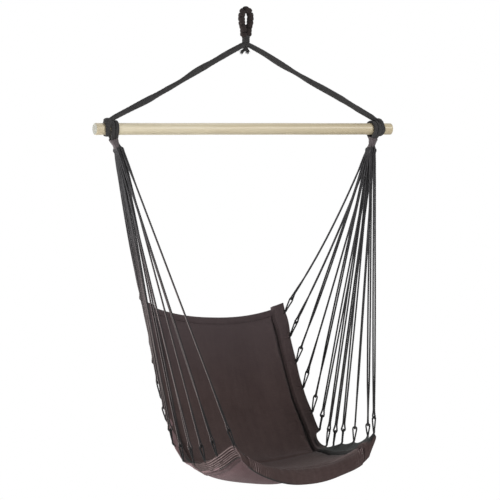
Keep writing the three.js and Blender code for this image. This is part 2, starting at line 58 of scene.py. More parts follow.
def makeCamera(view):
    data = bpy.data.cameras.new("camera")
    data.lens = view["lens"]
    data.sensor_width = 36
    data.shift_x, data.shift_y = view["shift"]
    data.clip_end = 200
    camera = bpy.data.objects.new("camera", data)
    bpy.context.scene.collection.objects.link(camera)
    turn = math.radians(view["azimuth"])
    camera.location = (
        view["distance"] * math.sin(turn),
        -view["distance"] * math.cos(turn),
        view["height"],
    )
    camera.rotation_euler = (math.radians(90), 0, turn)
    bpy.context.scene.camera = camera


makeCamera(cameraView)

xAxis = np.array([1.0, 0.0, 0.0])
yAxis = np.array([0.0, 1.0, 0.0])
zAxis = np.array([0.0, 0.0, 1.0])
sides = {"left": -1.0, "right": 1.0}


def nameOf(side):
    return "left" if side < 0 else "right"


# Numbers and curves

def unit(vectors):
    return vectors / np.linalg.norm(vectors, axis=-1, keepdims=True)


def blendOf(a, b, share):
    return a + (b - a) * share


def smoothStep(low, high, x):
    t = np.clip((x - low) / (high - low), 0, 1)
    return t * t * (3 - 2 * t)


# 1 at the place and falling off on both sides of it, to a third at the reach.
def bell(x, place, reach):
    return np.exp(-(((x - place) / reach) ** 2))


# Smooth value through evenly spaced values, at places from 0 to 1: a cubic through four neighbours.
def smoothValue(values, place):
    values = np.asarray(values, float)
    step = np.clip(place, 0, 1) * (len(values) - 1)
    first = np.minimum(np.floor(step).astype(int), len(values) - 2)
    padded = np.concatenate([values[:1], values, values[-1:]])
    a, b, c, d = (padded[first + k] for k in range(4))
    t = step - first
    return b + 0.5 * t * (c - a + t * (2 * a - 5 * b + 4 * c - d + t * (3 * (b - c) + d - a)))


curveSteps = 60  # points of a curve for each one that it is given


# Smooth curve through points: between two points a cubic whose ends lean on the neighbours, with the
# root of each chord as its length in time. Returns the length at each point and the points.
def smoothCurve(points):
    p = np.asarray(points, float)
    p = np.vstack([2 * p[0] - p[1], p, 2 * p[-1] - p[-2]])
    a, b, c, d = p[:-3], p[1:-2], p[2:-1], p[3:]
    ab, bc, cd = (np.sqrt(np.linalg.norm(r - q, axis=1))[:, None] for q, r in ((a, b), (b, c), (c, d)))
    leave = ((b - a) / ab - (c - a) / (ab + bc) + (c - b) / bc) * bc
    arrive = ((c - b) / bc - (d - b) / (bc + cd) + (d - c) / cd) * bc
    t = np.linspace(0, 1, curveSteps, endpoint=False)[None, :, None]
    b, c, leave, arrive = (q[:, None] for q in (b, c, leave, arrive))
    curve = b + leave * t + (3 * (c - b) - 2 * leave - arrive) * t**2 + (2 * (b - c) + leave + arrive) * t**3
    curve = np.vstack([curve.reshape(-1, p.shape[1]), p[-2]])
    return lengthsOf(curve), curve


def pointsAt(curve, places):
    length, points = curve
    return np.stack([np.interp(places, length, points[:, k]) for k in range(points.shape[1])], -1)


# Evenly spaced points along a smooth curve through the given ones.
def evenPath(points, step):
    curve = smoothCurve(points)
    count = max(2, int(round(curve[0][-1] / step)) + 1)
    return pointsAt(curve, np.linspace(0, curve[0][-1], count))


def lengthsOf(path):
    return np.concatenate([[0], np.cumsum(np.linalg.norm(np.diff(path, axis=0), axis=1))])


# Axes of a tube's section: across leans on the hint direction, up is square to it and to the path.
def pathAxes(path, hint):
    tangent = unit(np.gradient(path, axis=0))
    across = unit(hint - (hint * tangent).sum(-1, keepdims=True) * tangent)
    return tangent, across, np.cross(tangent, across)


# Evenly spaced angles of one full turn.
def circle(count):
    return np.arange(count) / count * 2 * math.pi


# Rings of points round each centre: wide is how far they reach along the across axis, high along up.
def ringsRound(centres, across, up, angle, wide, high):
    return (centres[:, None] + (wide * np.cos(angle))[..., None] * across[..., None, :]
            + (high * np.sin(angle))[..., None] * up[..., None, :])


# Meshes

def addObject(name, vertices, faces, loopUv=None):
    mesh = bpy.data.meshes.new(name)
    mesh.from_pydata(vertices.tolist(), [], faces)
    if loopUv is not None:
        layer = mesh.uv_layers.new(name="surface")
        layer.data.foreach_set("uv", np.asarray(loopUv, np.float32).ravel())
    mesh.polygons.foreach_set("use_smooth", np.full(len(mesh.polygons), True))
    mesh.update()
    piece = bpy.data.objects.new(name, mesh)
    bpy.context.scene.collection.objects.link(piece)
    return piece


# Faces of a grid of rows by columns. Its columns close on themselves, and its rows too where rings is set.
def gridFaces(rows, columns, rings=False):
    i, j = np.meshgrid(np.arange(rows if rings else rows - 1), np.arange(columns), indexing="ij")
    nextI, nextJ = (i + 1) % rows, (j + 1) % columns
    corners = (i, j), (i, nextJ), (nextI, nextJ), (nextI, j)
    return np.stack([a * columns + b for a, b in corners], -1).reshape(-1, 4), i, j


# The same faces with a fan over each open end, whose middle points follow the grid's.
def tubeFaces(rows, columns, offset):
    ring = np.arange(columns)
    nextRing = (ring + 1) % columns
    last = (rows - 1) * columns
    start = np.stack([np.full(columns, rows * columns), nextRing, ring], -1)
    end = np.stack([np.full(columns, rows * columns + 1), last + ring, last + nextRing], -1)
    return gridFaces(rows, columns)[0] + offset, np.vstack([start, end]) + offset


# Surface coordinates of faces, from those of each corner.
def cornerUv(u, v):
    return np.stack([np.stack(u, -1), np.stack(v, -1)], -1).reshape(-1, 2)


# Surface coordinates of a tube's faces, in metres: along the tube and round it.
def tubeUv(lengths, arounds):
    rows, columns = len(lengths), len(arounds) - 1
    i, j = np.meshgrid(np.arange(rows - 1), np.arange(columns), indexing="ij")
    quads = cornerUv((lengths[i], lengths[i], lengths[i + 1], lengths[i + 1]),
                     (arounds[j], arounds[j + 1], arounds[j + 1], arounds[j]))
    k = np.arange(columns)
    ends = []
    for level, order in ((lengths[0], (k + 1, k)), (lengths[-1], (k, k + 1))):
        u, middle = (np.full(columns, value) for value in (level, arounds[-1] / 2))
        ends.append(cornerUv((u, u, u), (middle, arounds[order[0]], arounds[order[1]])))
    return quads, np.vstack(ends)


# One or more closed tubes as one object. Each tube is its rings of points and its lengths and arounds.
def tubesObject(name, tubes, **marks):
    vertices, faces, triangles, quadUv, endUv = [], [], [], [], []
    offset = 0
    for rings, lengths, arounds in tubes:
        rows, columns = rings.shape[:2]
        middles = np.stack([rings[0].mean(0), rings[-1].mean(0)])
        vertices.append(np.vstack([rings.reshape(-1, 3), middles]))
        quads, ends = tubeFaces(rows, columns, offset)
        faces.append(quads)
        triangles.append(ends)
        uv = tubeUv(lengths, arounds)
        quadUv.append(uv[0])
        endUv.append(uv[1])
        offset += rows * columns + 2
    allFaces = np.vstack(faces).tolist() + np.vstack(triangles).tolist()
    piece = addObject(name, np.vstack(vertices), allFaces, np.vstack([*quadUv, *endUv]))
    for kind, values in marks.items():
        markVertices(piece, kind, np.append(values.ravel(), [0, 0]))
    return piece


# From 0 to 1 at each vertex: how far a crest is paled by wear and painted highlight, a cord's flank is
# painted as lit, or painted shade is laid on.
def markVertices(piece, kind, values):
    layer = piece.data.attributes.new(kind, "FLOAT", "POINT")
    layer.data.foreach_set("value", np.clip(values, 0, 1).astype(np.float32))


# Folds on a surface: each is a straight ridge or furrow from one place to another, highest at its
# start, that falls off beside its line like a bell and fades to nothing at its end.
def foldField(u, v, folds):
    height = np.zeros(np.broadcast(u, v).shape)
    for u0, v0, u1, v1, width, rise in folds:
        du, dv = u1 - u0, v1 - v0
        t = np.clip(((u - u0) * du + (v - v0) * dv) / (du * du + dv * dv), 0, 1)
        apart = (u - u0 - t * du) ** 2 + (v - v0 - t * dv) ** 2
        height += rise * np.exp(-apart / width**2) * (1 - t) ** 0.8
    return height


# Short folds that fan out from each lacing loop's foot into the cloth, ridge and furrow in turn.
footFan = {
    "start": 0.003,  # from the edge
    "spread": 62,  # degrees
    "waver": 9,  # degrees
    "furrow": -0.8,  # a furrow's depth against a ridge's height
}


def footFolds(seed, side, count, reach, width, rise):
    draw = np.random.default_rng(seed)
    start, spread, waver = footFan["start"], footFan["spread"], footFan["waver"]
    folds = []
    for k in cordNumbers:
        place = loopPlace(k, side) * seatShape["length"]
        for i in range(count):
            angle = math.radians(blendOf(-spread, spread, i / (count - 1)) + draw.uniform(-waver, waver))
            length = reach * draw.uniform(0.55, 1.0)
            sign = 1 if i % 2 else footFan["furrow"]
            folds.append((
                place + draw.uniform(-0.002, 0.002), start,
                place + length * math.sin(angle), start + length * math.cos(angle),
                width * draw.uniform(0.8, 1.3), rise * sign * draw.uniform(0.6, 1.1),
            ))
    return folds


# The faces where the mark is true take the piece's second material.
def useSecond(piece, mark):
    piece.data.polygons.foreach_set("material_index", mark.astype(np.int32))


# The piece's materials, the body it rides on and the CAD nodes that it replaces. The slot name is not used.
def dress(piece, body, slotName, materials, *nodes):
    for material in materials:
        piece.data.materials.append(material)
    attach(piece, body)
    if nodes:
        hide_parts(*nodes)
    return piece


# A laid cord: three rounded strands that turn round the middle once in every lay. A ring has three
# points for each strand, two on its back and one in the groove, and is turned a little from the last.
laidCord = {"groove": 0.74, "lay": 3.4, "ringsPerTurn": 9}  # lay is in thicknesses of the cord


def laidTube(path, radius, hint):
    lengths = lengthsOf(path)
    _, across, up = pathAxes(path, hint)
    reach = radius * np.tile([laidCord["groove"], 1.0, 1.0], 3)[None]
    turn = lengths / (laidCord["lay"] * 2 * radius) * 2 * math.pi
    rings = ringsRound(path, across, up, circle(9) + turn[:, None], reach, reach)
    return rings, lengths, np.linspace(0, 2 * math.pi * radius, 10)


# Crests and grooves of that tube, as the mark for paler crests wants them: wear and painted highlight.
def laidCrests(rows):
    return np.tile([0.0, 1.0, 1.0], (rows, 3))


# The distance from ring to ring.
def laidStep(radius):
    return laidCord["lay"] * 2 * radius / laidCord["ringsPerTurn"]


# A soft braided sleeve: an oval section whose skin has the relief of two sets of strands that cross
# over and under each other. The relief is the higher of two waves that run round it opposite ways.
def braidedTube(path, hint, halfWidth, halfHeight, braid, columns=48):
    lengths = lengthsOf(path)
    _, across, up = pathAxes(path, hint)
    angle = circle(columns)
    around = braid["strands"] * angle[None]
    phase = lengths[:, None] / braid["pitch"] * 2 * math.pi
    right = 0.5 + 0.5 * np.cos(around - phase)
    left = 0.5 + 0.5 * np.cos(around + phase)
    over = 0.8 + 0.2 * np.cos(around)
    relief = (np.maximum(right * over, left * (1.6 - over)) - 1) * braid["relief"]
    wide, high = (np.broadcast_to(half, lengths.shape)[:, None] + relief for half in (halfWidth, halfHeight))
    girth = 2 * math.pi * float(np.mean(halfWidth))
    return ringsRound(path, across, up, angle, wide, high), lengths, np.linspace(0, girth, columns + 1)


# Materials

# The nodes of a material as it is built. Each value is a number, a colour or another node's output.
class Steps:
    def __init__(self, tree):
        self.tree = tree

    def add(self, kind, inputs, **values):
        node = self.tree.nodes.new(kind)
        for key, value in values.items():
            setattr(node, key, value)
        for key, value in inputs.items():
            self.feed(node.inputs[key], value)
        return node

    def feed(self, socket, value):
        if isinstance(value, bpy.types.NodeSocket):
            self.tree.links.new(value, socket)
        else:
            socket.default_value = (*value, 1) if socket.type == "RGBA" else value

    def compute(self, operation, a, b):
        return self.add("ShaderNodeMath", {0: a, 1: b}, operation=operation).outputs[0]

    def times(self, a, b):
        return self.compute("MULTIPLY", a, b)

    def blend(self, a, b, share):
        return self.compute("ADD", self.times(a, share), self.times(b, 1 - share))

    def vector(self, output, scale=(1, 1, 1), turn=(0, 0, 0), shift=(0, 0, 0)):
        source = self.add("ShaderNodeTexCoord", {}).outputs[output]
        inputs = {"Vector": source, "Scale": scale, "Rotation": turn, "Location": shift}
        return self.add("ShaderNodeMapping", inputs).outputs[0]

    # The object's own X, Y or Z, which is the frame's, in metres.
    def coordinate(self, axis):
        return self.add("ShaderNodeSeparateXYZ", {0: self.vector("Object")}).outputs[axis]

    def noise(self, vector, scale, detail, roughness):
        inputs = {"Vector": vector, "Scale": scale, "Detail": detail, "Roughness": roughness}
        return self.add("ShaderNodeTexNoise", inputs).outputs["Fac"]

    def wave(self, vector, scale, distortion, **values):
        inputs = {"Vector": vector, "Scale": scale, "Distortion": distortion}
        return self.add("ShaderNodeTexWave", inputs, **values).outputs["Fac"]

    # From 0 to 1 as the value goes from low to high.
    def rise(self, value, low, high):
        inputs = {"Value": value, "From Min": low, "From Max": high}
        return self.add("ShaderNodeMapRange", inputs, interpolation_type="SMOOTHSTEP").outputs[0]

    # A vertex attribute that markVertices wrote, 0 on the pieces that have none.
    def mark(self, kind):
        return self.add("ShaderNodeAttribute", {}, attribute_name=kind).outputs["Fac"]

    def ramp(self, factor, stops):
        node = self.add("ShaderNodeValToRGB", {"Fac": factor})
        elements = node.color_ramp.elements
        while len(elements) < len(stops):
            elements.new(0.5)
        for element, (place, colour) in zip(elements, stops):
            element.position = place
            element.color = (*colour, 1)
        return node.outputs["Color"]

    def mix(self, factor, a, b):
        return self.add("ShaderNodeMix", {0: factor, 6: a, 7: b}, data_type="RGBA").outputs[2]

    def bump(self, height, distance, strength):
        inputs = {"Height": height, "Distance": distance, "Strength": strength}
        return self.add("ShaderNodeBump", inputs).outputs["Normal"]

    # 1 for what the camera sees, straight or in a glossy face, and 0 for light that lights the scene.
    def seen(self, *more):
        rays = self.add("ShaderNodeLightPath", {}).outputs
        found = rays["Is Camera Ray"]
        for kind in ("Is Glossy Ray", *more):
            found = self.compute("MAXIMUM", found, rays[kind])
        return found

    def finish(self, kind, factor, first, second):
        mixed = self.add("ShaderNodeMixShader", {0: factor})
        self.tree.links.new(first.outputs[0], mixed.inputs[1])
        self.tree.links.new(second.outputs[0], mixed.inputs[2])
        self.tree.links.new(mixed.outputs[0], self.add(kind, {}).inputs["Surface"])


def startMaterial(name, look):
    material = bpy.data.materials.new(name)
    material.use_nodes = True
    steps = Steps(material.node_tree)
    shader = material.node_tree.nodes["Principled BSDF"]
    for key, value in look.items():
        shader.inputs[key].default_value = value
    return material, steps, shader.inputs


# Yarn: fine fibres drawn out along the strand, and slow changes of tone over the object. The crests of the
# strands are paler where their mark is high, for wear and a painted highlight, and a cord's marked flank is
# painted paler still, a painted highlight. Low down the yarn is painted darker by the share given as low,
# painted shade.
yarnShape = {
    "surface": {"Roughness": 0.9, "Sheen Weight": 0.04, "Specular IOR Level": 0.25},
    "fibres": (220, 2600, 1),  # waves to a metre, along the strand and across it
    "plyTurn": 24,  # degrees
    "plies": 260,
    "tone": 22,
    "stops": (0.3, 0.72),
    "levels": (-1.05, -0.55),  # between these heights the yarn goes from the painted shade low down to its own colour
    # the colour of the painted highlight on a cord's lit flank
    "flankHighlightColour": (0.185, 0.150, 0.147),
    "bump": 0.0005,
}


def yarnMaterial(name, dark, light, paleWearAndLight, low=0.0):
    shape = yarnShape
    material, steps, surface = startMaterial(name, shape["surface"])
    fibres = steps.noise(steps.vector("UV", shape["fibres"]), 1.0, 3.0, 0.6)
    turned = steps.vector("UV", turn=(0, 0, math.radians(shape["plyTurn"])))
    plies = steps.wave(turned, shape["plies"], 1.2, bands_direction="Y")
    tone = steps.noise(steps.vector("Object"), shape["tone"], 3.0, 0.6)
    fine = steps.blend(fibres, plies, 0.6)
    colour = steps.ramp(steps.blend(fine, tone, 0.65), list(zip(shape["stops"], (dark, light))))
    # Paler crests: wear and painted highlight.
    wearAndHighlightShare = steps.times(steps.mark("rubbed"), steps.compute("ADD", steps.times(tone, 0.9), 0.1))
    # Painted shade: the yarn is darker low down.
    depth = steps.compute("SUBTRACT", 1.0, steps.rise(steps.coordinate("Z"), *shape["levels"]))
    worked = steps.mix(steps.times(depth, low), steps.mix(wearAndHighlightShare, colour, paleWearAndLight), dark)
    # A cord's marked flank takes its painted highlight.
    steps.feed(surface["Base Color"], steps.mix(steps.mark("flankHighlight"), worked, shape["flankHighlightColour"]))
    steps.feed(surface["Normal"], steps.bump(fine, shape["bump"], 0.8))
    return material


# Woven canvas: warp and weft bands, slubs along both, and a soft change of tone. Where the crest mark is
# high the cloth is paler, painted highlights and painted light, and where the shade mark is, it takes a
# painted shade colour. Toward the top of the back it is painted lighter, painted light.
canvasShape = {
    "surface": {"Roughness": 0.93, "Sheen Weight": 0.05, "Specular IOR Level": 0.25},
    "threads": 1100,  # to a metre
    "slubs": (900, 40),  # waves to a metre, across a thread and along it
    "streaks": (60, 7, 1),
    "tone": 9,
    "stops": (0.38, 0.62),
    "weave": 0.18,
    "levels": (-1.20, -0.86),  # between these heights the colour goes over to the painted light of the top
    "paintedLight": 0.8,
    "bump": 0.0005,
}


def canvasMaterial(name, dark, light, paleWearAndLight, paintedLight, deep):
    shape = canvasShape
    material, steps, surface = startMaterial(name, shape["surface"])
    plain = steps.vector("UV")
    scale = shape["threads"] * 2 * math.pi / 20  # a wave node has 20 / (2 pi) bands at scale 1
    warp, weft = (steps.wave(plain, scale, 0.0, bands_direction=axis) for axis in "XY")
    weave = steps.blend(warp, weft, 0.5)
    fine, coarse = shape["slubs"]
    sizes = (fine, coarse, 1), (coarse, fine, 1)
    slubs = steps.blend(*(steps.noise(steps.vector("UV", size), 1.0, 2.0, 0.6) for size in sizes), 0.5)
    tone = steps.noise(steps.vector("Object"), shape["tone"], 4.0, 0.6)
    streaks = steps.noise(steps.vector("UV", shape["streaks"]), 1.0, 3.0, 0.6)
    mixed = steps.blend(slubs, steps.blend(tone, streaks, 0.6), 0.5)
    shaded = steps.ramp(mixed, list(zip(shape["stops"], (dark, light))))
    shaded = steps.mix(steps.times(weave, shape["weave"]), shaded, light)
    # Painted light: the cloth is paler toward the top of the back.
    aloft = steps.times(steps.rise(steps.coordinate("Z"), *shape["levels"]), shape["paintedLight"])
    shaded = steps.mix(aloft, shaded, paintedLight)
    # Paler where marked: painted highlights and painted light on the cloth.
    shaded = steps.mix(steps.times(steps.mark("rubbed"), slubs), shaded, paleWearAndLight)
    # Painted shade where marked.
    steps.feed(surface["Base Color"], steps.mix(steps.mark("deepened"), shaded, deep))
    height = steps.compute("ADD", steps.times(weave, 0.6), steps.times(slubs, 0.8))
    steps.feed(surface["Normal"], steps.bump(height, shape["bump"], 0.7))
    return material


# Varnished pale wood: long grain along the bar, fine pores, and a slow warm and cool change. Toward the
# right end it is painted darker, painted shade, and the left end is darker from handling.
woodShape = {
    "surface": {"Roughness": 0.42, "Specular IOR Level": 0.5, "Coat Weight": 0.25, "Coat Roughness": 0.3},
    "grain": (2.2, 60, 60),
    "pores": (30, 900, 900),
    "drift": (2.4, 6, 6),
    "stops": [(0.3, (0.76, 0.645, 0.44)), (0.52, (0.85, 0.755, 0.545)), (0.75, (0.90, 0.83, 0.65))],
    "warm": (0.4, (0.78, 0.68, 0.47)),  # share and colour, here and below
    # painted shade, darker toward the right end of the bar
    "heart": (0.92, (0.54, 0.45, 0.285)),
    "rightShadeReach": (-0.5, 0.6),
    "handled": (0.7, (0.60, 0.50, 0.325)),
    "handledReach": (-0.47, -0.42),
    "fleck": (0.2, (0.55, 0.42, 0.25)),
    "bump": 0.0001,
}


def woodMaterial(shape):
    material, steps, surface = startMaterial("paleWood", shape["surface"])
    grain = steps.noise(steps.vector("Object", shape["grain"]), 1.6, 5.0, 0.6)
    pores = steps.noise(steps.vector("Object", shape["pores"]), 1.0, 2.0, 0.7)
    drift = steps.noise(steps.vector("Object", shape["drift"]), 1.0, 2.0, 0.5)
    along = steps.coordinate("X")
    handled = steps.compute("SUBTRACT", 1.0, steps.rise(along, *shape["handledReach"]))
    colour = steps.ramp(grain, shape["stops"])
    for key, factor in (("warm", drift), ("heart", steps.rise(along, *shape["rightShadeReach"])),
                        ("handled", handled), ("fleck", steps.rise(pores, 0.6, 0.75))):
        share, toward = shape[key]
        colour = steps.mix(steps.times(factor, share), colour, toward)
    steps.feed(surface["Base Color"], colour)
    steps.feed(surface["Normal"], steps.bump(steps.compute("ADD", grain, pores), shape["bump"], 0.3))
    return material


# The bar's sawn ends: growth rings round a heart a little off the middle, greyer than the side.
endGrainShape = {
    "surface": {"Roughness": 0.7, "Specular IOR Level": 0.25},
    "heart": (0, 0.006, 0.352),
    "rings": 90,
    "pores": (1, 900, 900),
    "stops": [(0.1, (0.25, 0.245, 0.21)), (0.9, (0.34, 0.335, 0.295))],
    "pore": (0.4, (0.40, 0.40, 0.365)),
    "bump": 0.0002,
}


def endGrainMaterial(shape):
    material, steps, surface = startMaterial("endGrain", shape["surface"])
    source = steps.vector("Object", (0, 1, 1), shift=shape["heart"])
    rings = steps.wave(source, shape["rings"], 2.0, wave_type="RINGS", rings_direction="X")
    pores = steps.noise(steps.vector("Object", shape["pores"]), 1.0, 2.0, 0.6)
    share, toward = shape["pore"]
    colour = steps.mix(steps.times(pores, share), steps.ramp(rings, shape["stops"]), toward)
    steps.feed(surface["Base Color"], colour)
    steps.feed(surface["Normal"], steps.bump(pores, shape["bump"], 0.5))
    return material


# Each yarn is its dark, light and pale crest colour, each cloth its dark, light and pale colour, its painted
# light and its painted shade.
ropeYarn = yarnMaterial("ropeYarn", (0.026, 0.025, 0.0255), (0.075, 0.072, 0.072), (0.11, 0.105, 0.104))
loopYarn = yarnMaterial("loopYarn", (0.012, 0.009, 0.009), (0.052, 0.038, 0.036), (0.09, 0.055, 0.05))
# The cords are painted darker low down, painted shade.
cordYarn = yarnMaterial("cordYarn", (0.013, 0.0125, 0.0125), (0.051, 0.0505, 0.053), (0.112, 0.108, 0.114),
                        low=0.72)
bindingYarn = yarnMaterial("bindingYarn", (0.075, 0.063, 0.066), (0.188, 0.160, 0.168), (0.25, 0.21, 0.22))
threadYarn = yarnMaterial("threadYarn", (0.040, 0.027, 0.026), (0.095, 0.068, 0.066), (0.12, 0.09, 0.09))
cover = canvasMaterial("cover", (0.045, 0.0275, 0.0260), (0.077, 0.0505, 0.0475), (0.42, 0.31, 0.31),
                       (0.086, 0.065, 0.069), (0.025, 0.0265, 0.0258))
# The underside cloth: the cover's colour painted brighter, painted light from below and from the side.
litUnderside = canvasMaterial("litUnderside", (0.150, 0.090, 0.094), (0.235, 0.152, 0.158), (0.40, 0.29, 0.30),
                        (0.220, 0.140, 0.146), (0.060, 0.040, 0.040))
paleWood = woodMaterial(woodShape)
endGrain = endGrainMaterial(endGrainShape)
print("materials made")


# Places taken from the frame

barLow, barHigh = (np.array(corner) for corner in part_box("spreader_bar"))
barAxis = (barLow[2] + barHigh[2]) / 2
barRadius = (barHigh[2] - barLow[2]) / 2
barHalf = (barHigh[0] - barLow[0]) / 2
knotLow, knotHigh = (np.array(corner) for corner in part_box("crotch_knot"))
knotCentre = (knotLow + knotHigh) / 2
knotRadius = (knotHigh[2] - knotLow[2]) / 2


# Spreader bar: a round stick as rings along X, with rounded end edges and flat end faces.
barShape = {
    "edge": 0.0022,
    "columns": 96,
    "endRings": [0.25, 0.5, 0.75, 0.95],
    "middleRings": 60,
    "endMargin": 0.01,
    "waver": 0.00025,
}


def makeBar(shape):
    edge = np.linspace(0, math.pi / 2, 6)
    radii = barRadius - shape["edge"] + shape["edge"] * np.sin(edge)
    places = -barHalf + shape["edge"] - shape["edge"] * np.cos(edge)
    inner = np.array(shape["endRings"]) * (barRadius - shape["edge"])
    ends = np.full(len(inner), barHalf)
    middle = np.linspace(-barHalf + shape["endMargin"], barHalf - shape["endMargin"], shape["middleRings"])
    x = np.concatenate([-ends, places, middle, -places[::-1], ends])
    r = np.concatenate([inner, radii, np.full(len(middle), barRadius), radii[::-1], inner[::-1]])
    angle = circle(shape["columns"])
    waver = shape["waver"] * np.sin(3 * angle[None] + 9 * x[:, None]) * np.sin(17 * x[:, None])
    reach = (r - shape["waver"])[:, None] * (1 + waver / barRadius)
    centres = np.stack([x, 0 * x, np.full(len(x), barAxis)], -1)
    rings = ringsRound(centres, zAxis[None], -yAxis[None], angle, reach, reach)[:, ::-1]
    around = np.linspace(0, 2 * math.pi * barRadius, len(angle) + 1)
    bar = tubesObject("spreaderBar", [(rings, x + barHalf, around)])
    dress(bar, "bridle", "wood", [paleWood, endGrain], "spreader_bar")
    middles = np.array([p.center.x for p in bar.data.polygons])
    useSecond(bar, np.abs(middles) > barHalf - shape["edge"] * 0.3)


makeBar(barShape)
print("spreader bar made")


# Hanging loop: a core rope up one limb, round the eye and down the other, hidden under hitches that
# sit side by side along it. A hitch is an oval ring round the core with its own twist.
loopShape = {
    "rope": 0.017,
    "eyeWidth": 0.0119,
    "eyeHeight": 0.042,
    "height": 0.070,
    "limbGap": -0.0012,
    "eyeShares": [1.2, 0.93, 0.67, 0.4, 0.17],
    "spreadShares": [0.12, 0.5, 0.92, 1.02, 0.9],
    "hitchPitch": 0.0113,
    "hitchThickness": 0.0072,
    "bulge": 0.0022,  # how far the hitches stand out past the rope's own width
    "overlap": 0.62,
    "lean": 16.0,  # degrees
    "groove": 0.10,
    "core": 0.30,  # how far the core lies under the hitches, in their thickness
    "columns": 18,
    "steps": 44,
    "cell": 0.0009,  # of the hitches' surface coordinates
}


def loopPath(shape):
    half = shape["rope"] / 2
    limbX, eyeX = half + shape["limbGap"] / 2, half + shape["eyeWidth"] / 2
    spread = np.array(shape["spreadShares"])
    level = -np.array(shape["eyeShares"]) * shape["eyeHeight"]
    eye = np.stack([blendOf(limbX, eyeX, spread), 0 * spread, level], -1)
    foot = np.array([[limbX, 0, -shape["height"]], [limbX, 0, (eye[0, 2] - shape["height"]) / 2]])
    limb = np.vstack([foot, eye])
    angle = np.arange(1, 8) / 8 * math.pi
    shoulder = limb[-1]
    arc = np.stack([shoulder[0] * np.cos(angle), 0 * angle, blendOf(shoulder[2], half, np.sin(angle))], -1)
    return evenPath(np.vstack([limb, arc, limb[::-1] * np.array([-1, 1, 1])]), 0.001)


# One hitch: a ring round the rope at a place of the path, leaning forward or back in turn. Its section
# is an oval with three grooves that turn round it.
def hitchRing(place, tangent, lean, radius, section, shape):
    angle = np.linspace(0, 2 * math.pi, shape["steps"], endpoint=False)
    side = unit(np.cross(tangent, yAxis))
    outward = np.cos(angle)[:, None] * side + np.sin(angle)[:, None] * yAxis
    shift = math.tan(math.radians(lean)) * radius * np.sin(angle)[:, None] * tangent
    around = circle(shape["columns"])
    groove = 1 - shape["groove"] * (0.5 + 0.5 * np.cos(3 * around[None] + 5 * angle[:, None]))
    centres = place + outward * radius + shift
    return ringsRound(centres, outward, tangent[None], around, section[0] * groove, section[1] * groove)


def makeHangingLoop(shape):
    path = loopPath(shape)
    lengths = lengthsOf(path)
    coreRadius = shape["rope"] / 2 - shape["hitchThickness"] * shape["core"]
    tube = laidTube(evenPath(path[::6], laidStep(coreRadius)), coreRadius, yAxis)
    dress(tubesObject("hangingLoopCore", [tube]), "hanger", "rope", [loopYarn])
    count = int(round(lengths[-1] / shape["hitchPitch"]))
    pitch = lengths[-1] / count
    tangents = unit(np.gradient(path, axis=0))
    ringRadius = shape["rope"] / 2 + shape["bulge"] - shape["hitchThickness"] / 2
    section = shape["hitchThickness"] / 2, pitch * shape["overlap"]
    quads, a, b = gridFaces(shape["steps"], shape["columns"], rings=True)
    along, across, cell = a * shape["cell"], b * shape["cell"], shape["cell"]
    uv = cornerUv((along, along, along + cell, along + cell), (across, across + cell, across + cell, across))
    vertices, faces = [], []
    for k, place in enumerate((np.arange(count) + 0.5) * pitch):
        i = int(np.searchsorted(lengths, place))
        lean = shape["lean"] * (1 if k % 2 else -1)
        vertices.append(hitchRing(path[i], tangents[i], lean, ringRadius, section, shape).reshape(-1, 3))
        faces.append(quads + k * shape["steps"] * shape["columns"])
    allFaces = np.vstack(faces).tolist()
    hitches = addObject("hangingLoopHitches", np.vstack(vertices), allFaces, np.vstack([uv] * count))
    dress(hitches, "hanger", "rope", [loopYarn], "hanging_loop")


makeHangingLoop(loopShape)
print("hanging loop made")


# Throat: a whipping of thin cord wound down round the two limbs, from their width to the knot's.
throatShape = {
    "cord": 0.0034,
    "turns": 7,
    "coreShare": 0.72,
    "rib": 0.05,
    "rubbed": 0.4,
    "radii": [15.6, 13.4, 12.2, 11.8, 12.2, 12.0],  # mm, from the limbs down to the knot
    "depths": [9.2, 9.6, 10.0, 10.3, 10.6, 10.4],
    "above": 0.004,
    "below": 0.0085,
}


def makeThroat(shape):
    low, high = (np.array(corner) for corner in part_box("throat_binding"))
    top, bottom = high[2] + shape["above"], low[2] - shape["below"]
    radius = shape["cord"] / 2

    def outline(share):
        wide = smoothValue(shape["radii"], share)
        return np.stack([wide, smoothValue(shape["depths"], share)], -1) * 0.001

    share = np.linspace(0.02, 0.98, 24)
    angle = circle(36)
    size = outline(share)[:, None] - 2 * radius * shape["coreShare"]
    ribs = 1 + shape["rib"] * np.cos(9 * angle)
    centres = zAxis * blendOf(top, bottom, share)[:, None]
    wide, high = size[..., 0] * ribs, size[..., 1] * ribs
    body = ringsRound(centres, xAxis[None], yAxis[None], angle, wide, high)[:, ::-1]
    core = (body, share * (top - bottom), np.linspace(0, 0.06, len(angle) + 1))
    turnAngle = np.linspace(0, shape["turns"] * 2 * math.pi, 60 * shape["turns"])
    climb = turnAngle / turnAngle[-1]
    level = blendOf(top - radius, bottom + radius, climb)
    reach = outline(climb) - radius
    path = np.stack([reach[:, 0] * np.cos(turnAngle), reach[:, 1] * np.sin(turnAngle), level], -1)
    wound = laidTube(path, radius, zAxis)
    smooth, crests = np.zeros(share.size * angle.size + 2), laidCrests(len(path)).ravel() * shape["rubbed"]
    throat = tubesObject("throatWhipping", [core, wound])
    markVertices(throat, "rubbed", np.concatenate([smooth, crests, [0, 0]]))
    dress(throat, "throat", "rope", [ropeYarn], "throat_binding")


makeThroat(throatShape)


# Crotch knot: three turns of rope over each other round a ball.
knotShape = {
    "rope": 0.0070,
    "tilts": [(0, 12), (50, 38), (-50, 38), (62, 74), (-62, 74), (8, 88)],  # degrees about Z, then from level
    "lap": 1.02,  # how far round each turn goes
    "deeper": 0.0006,  # how much deeper each turn lies than the one before
    "waver": 0.0004,
    "core": 0.42,  # how far the ball lies under the turns, in the rope's thickness
}


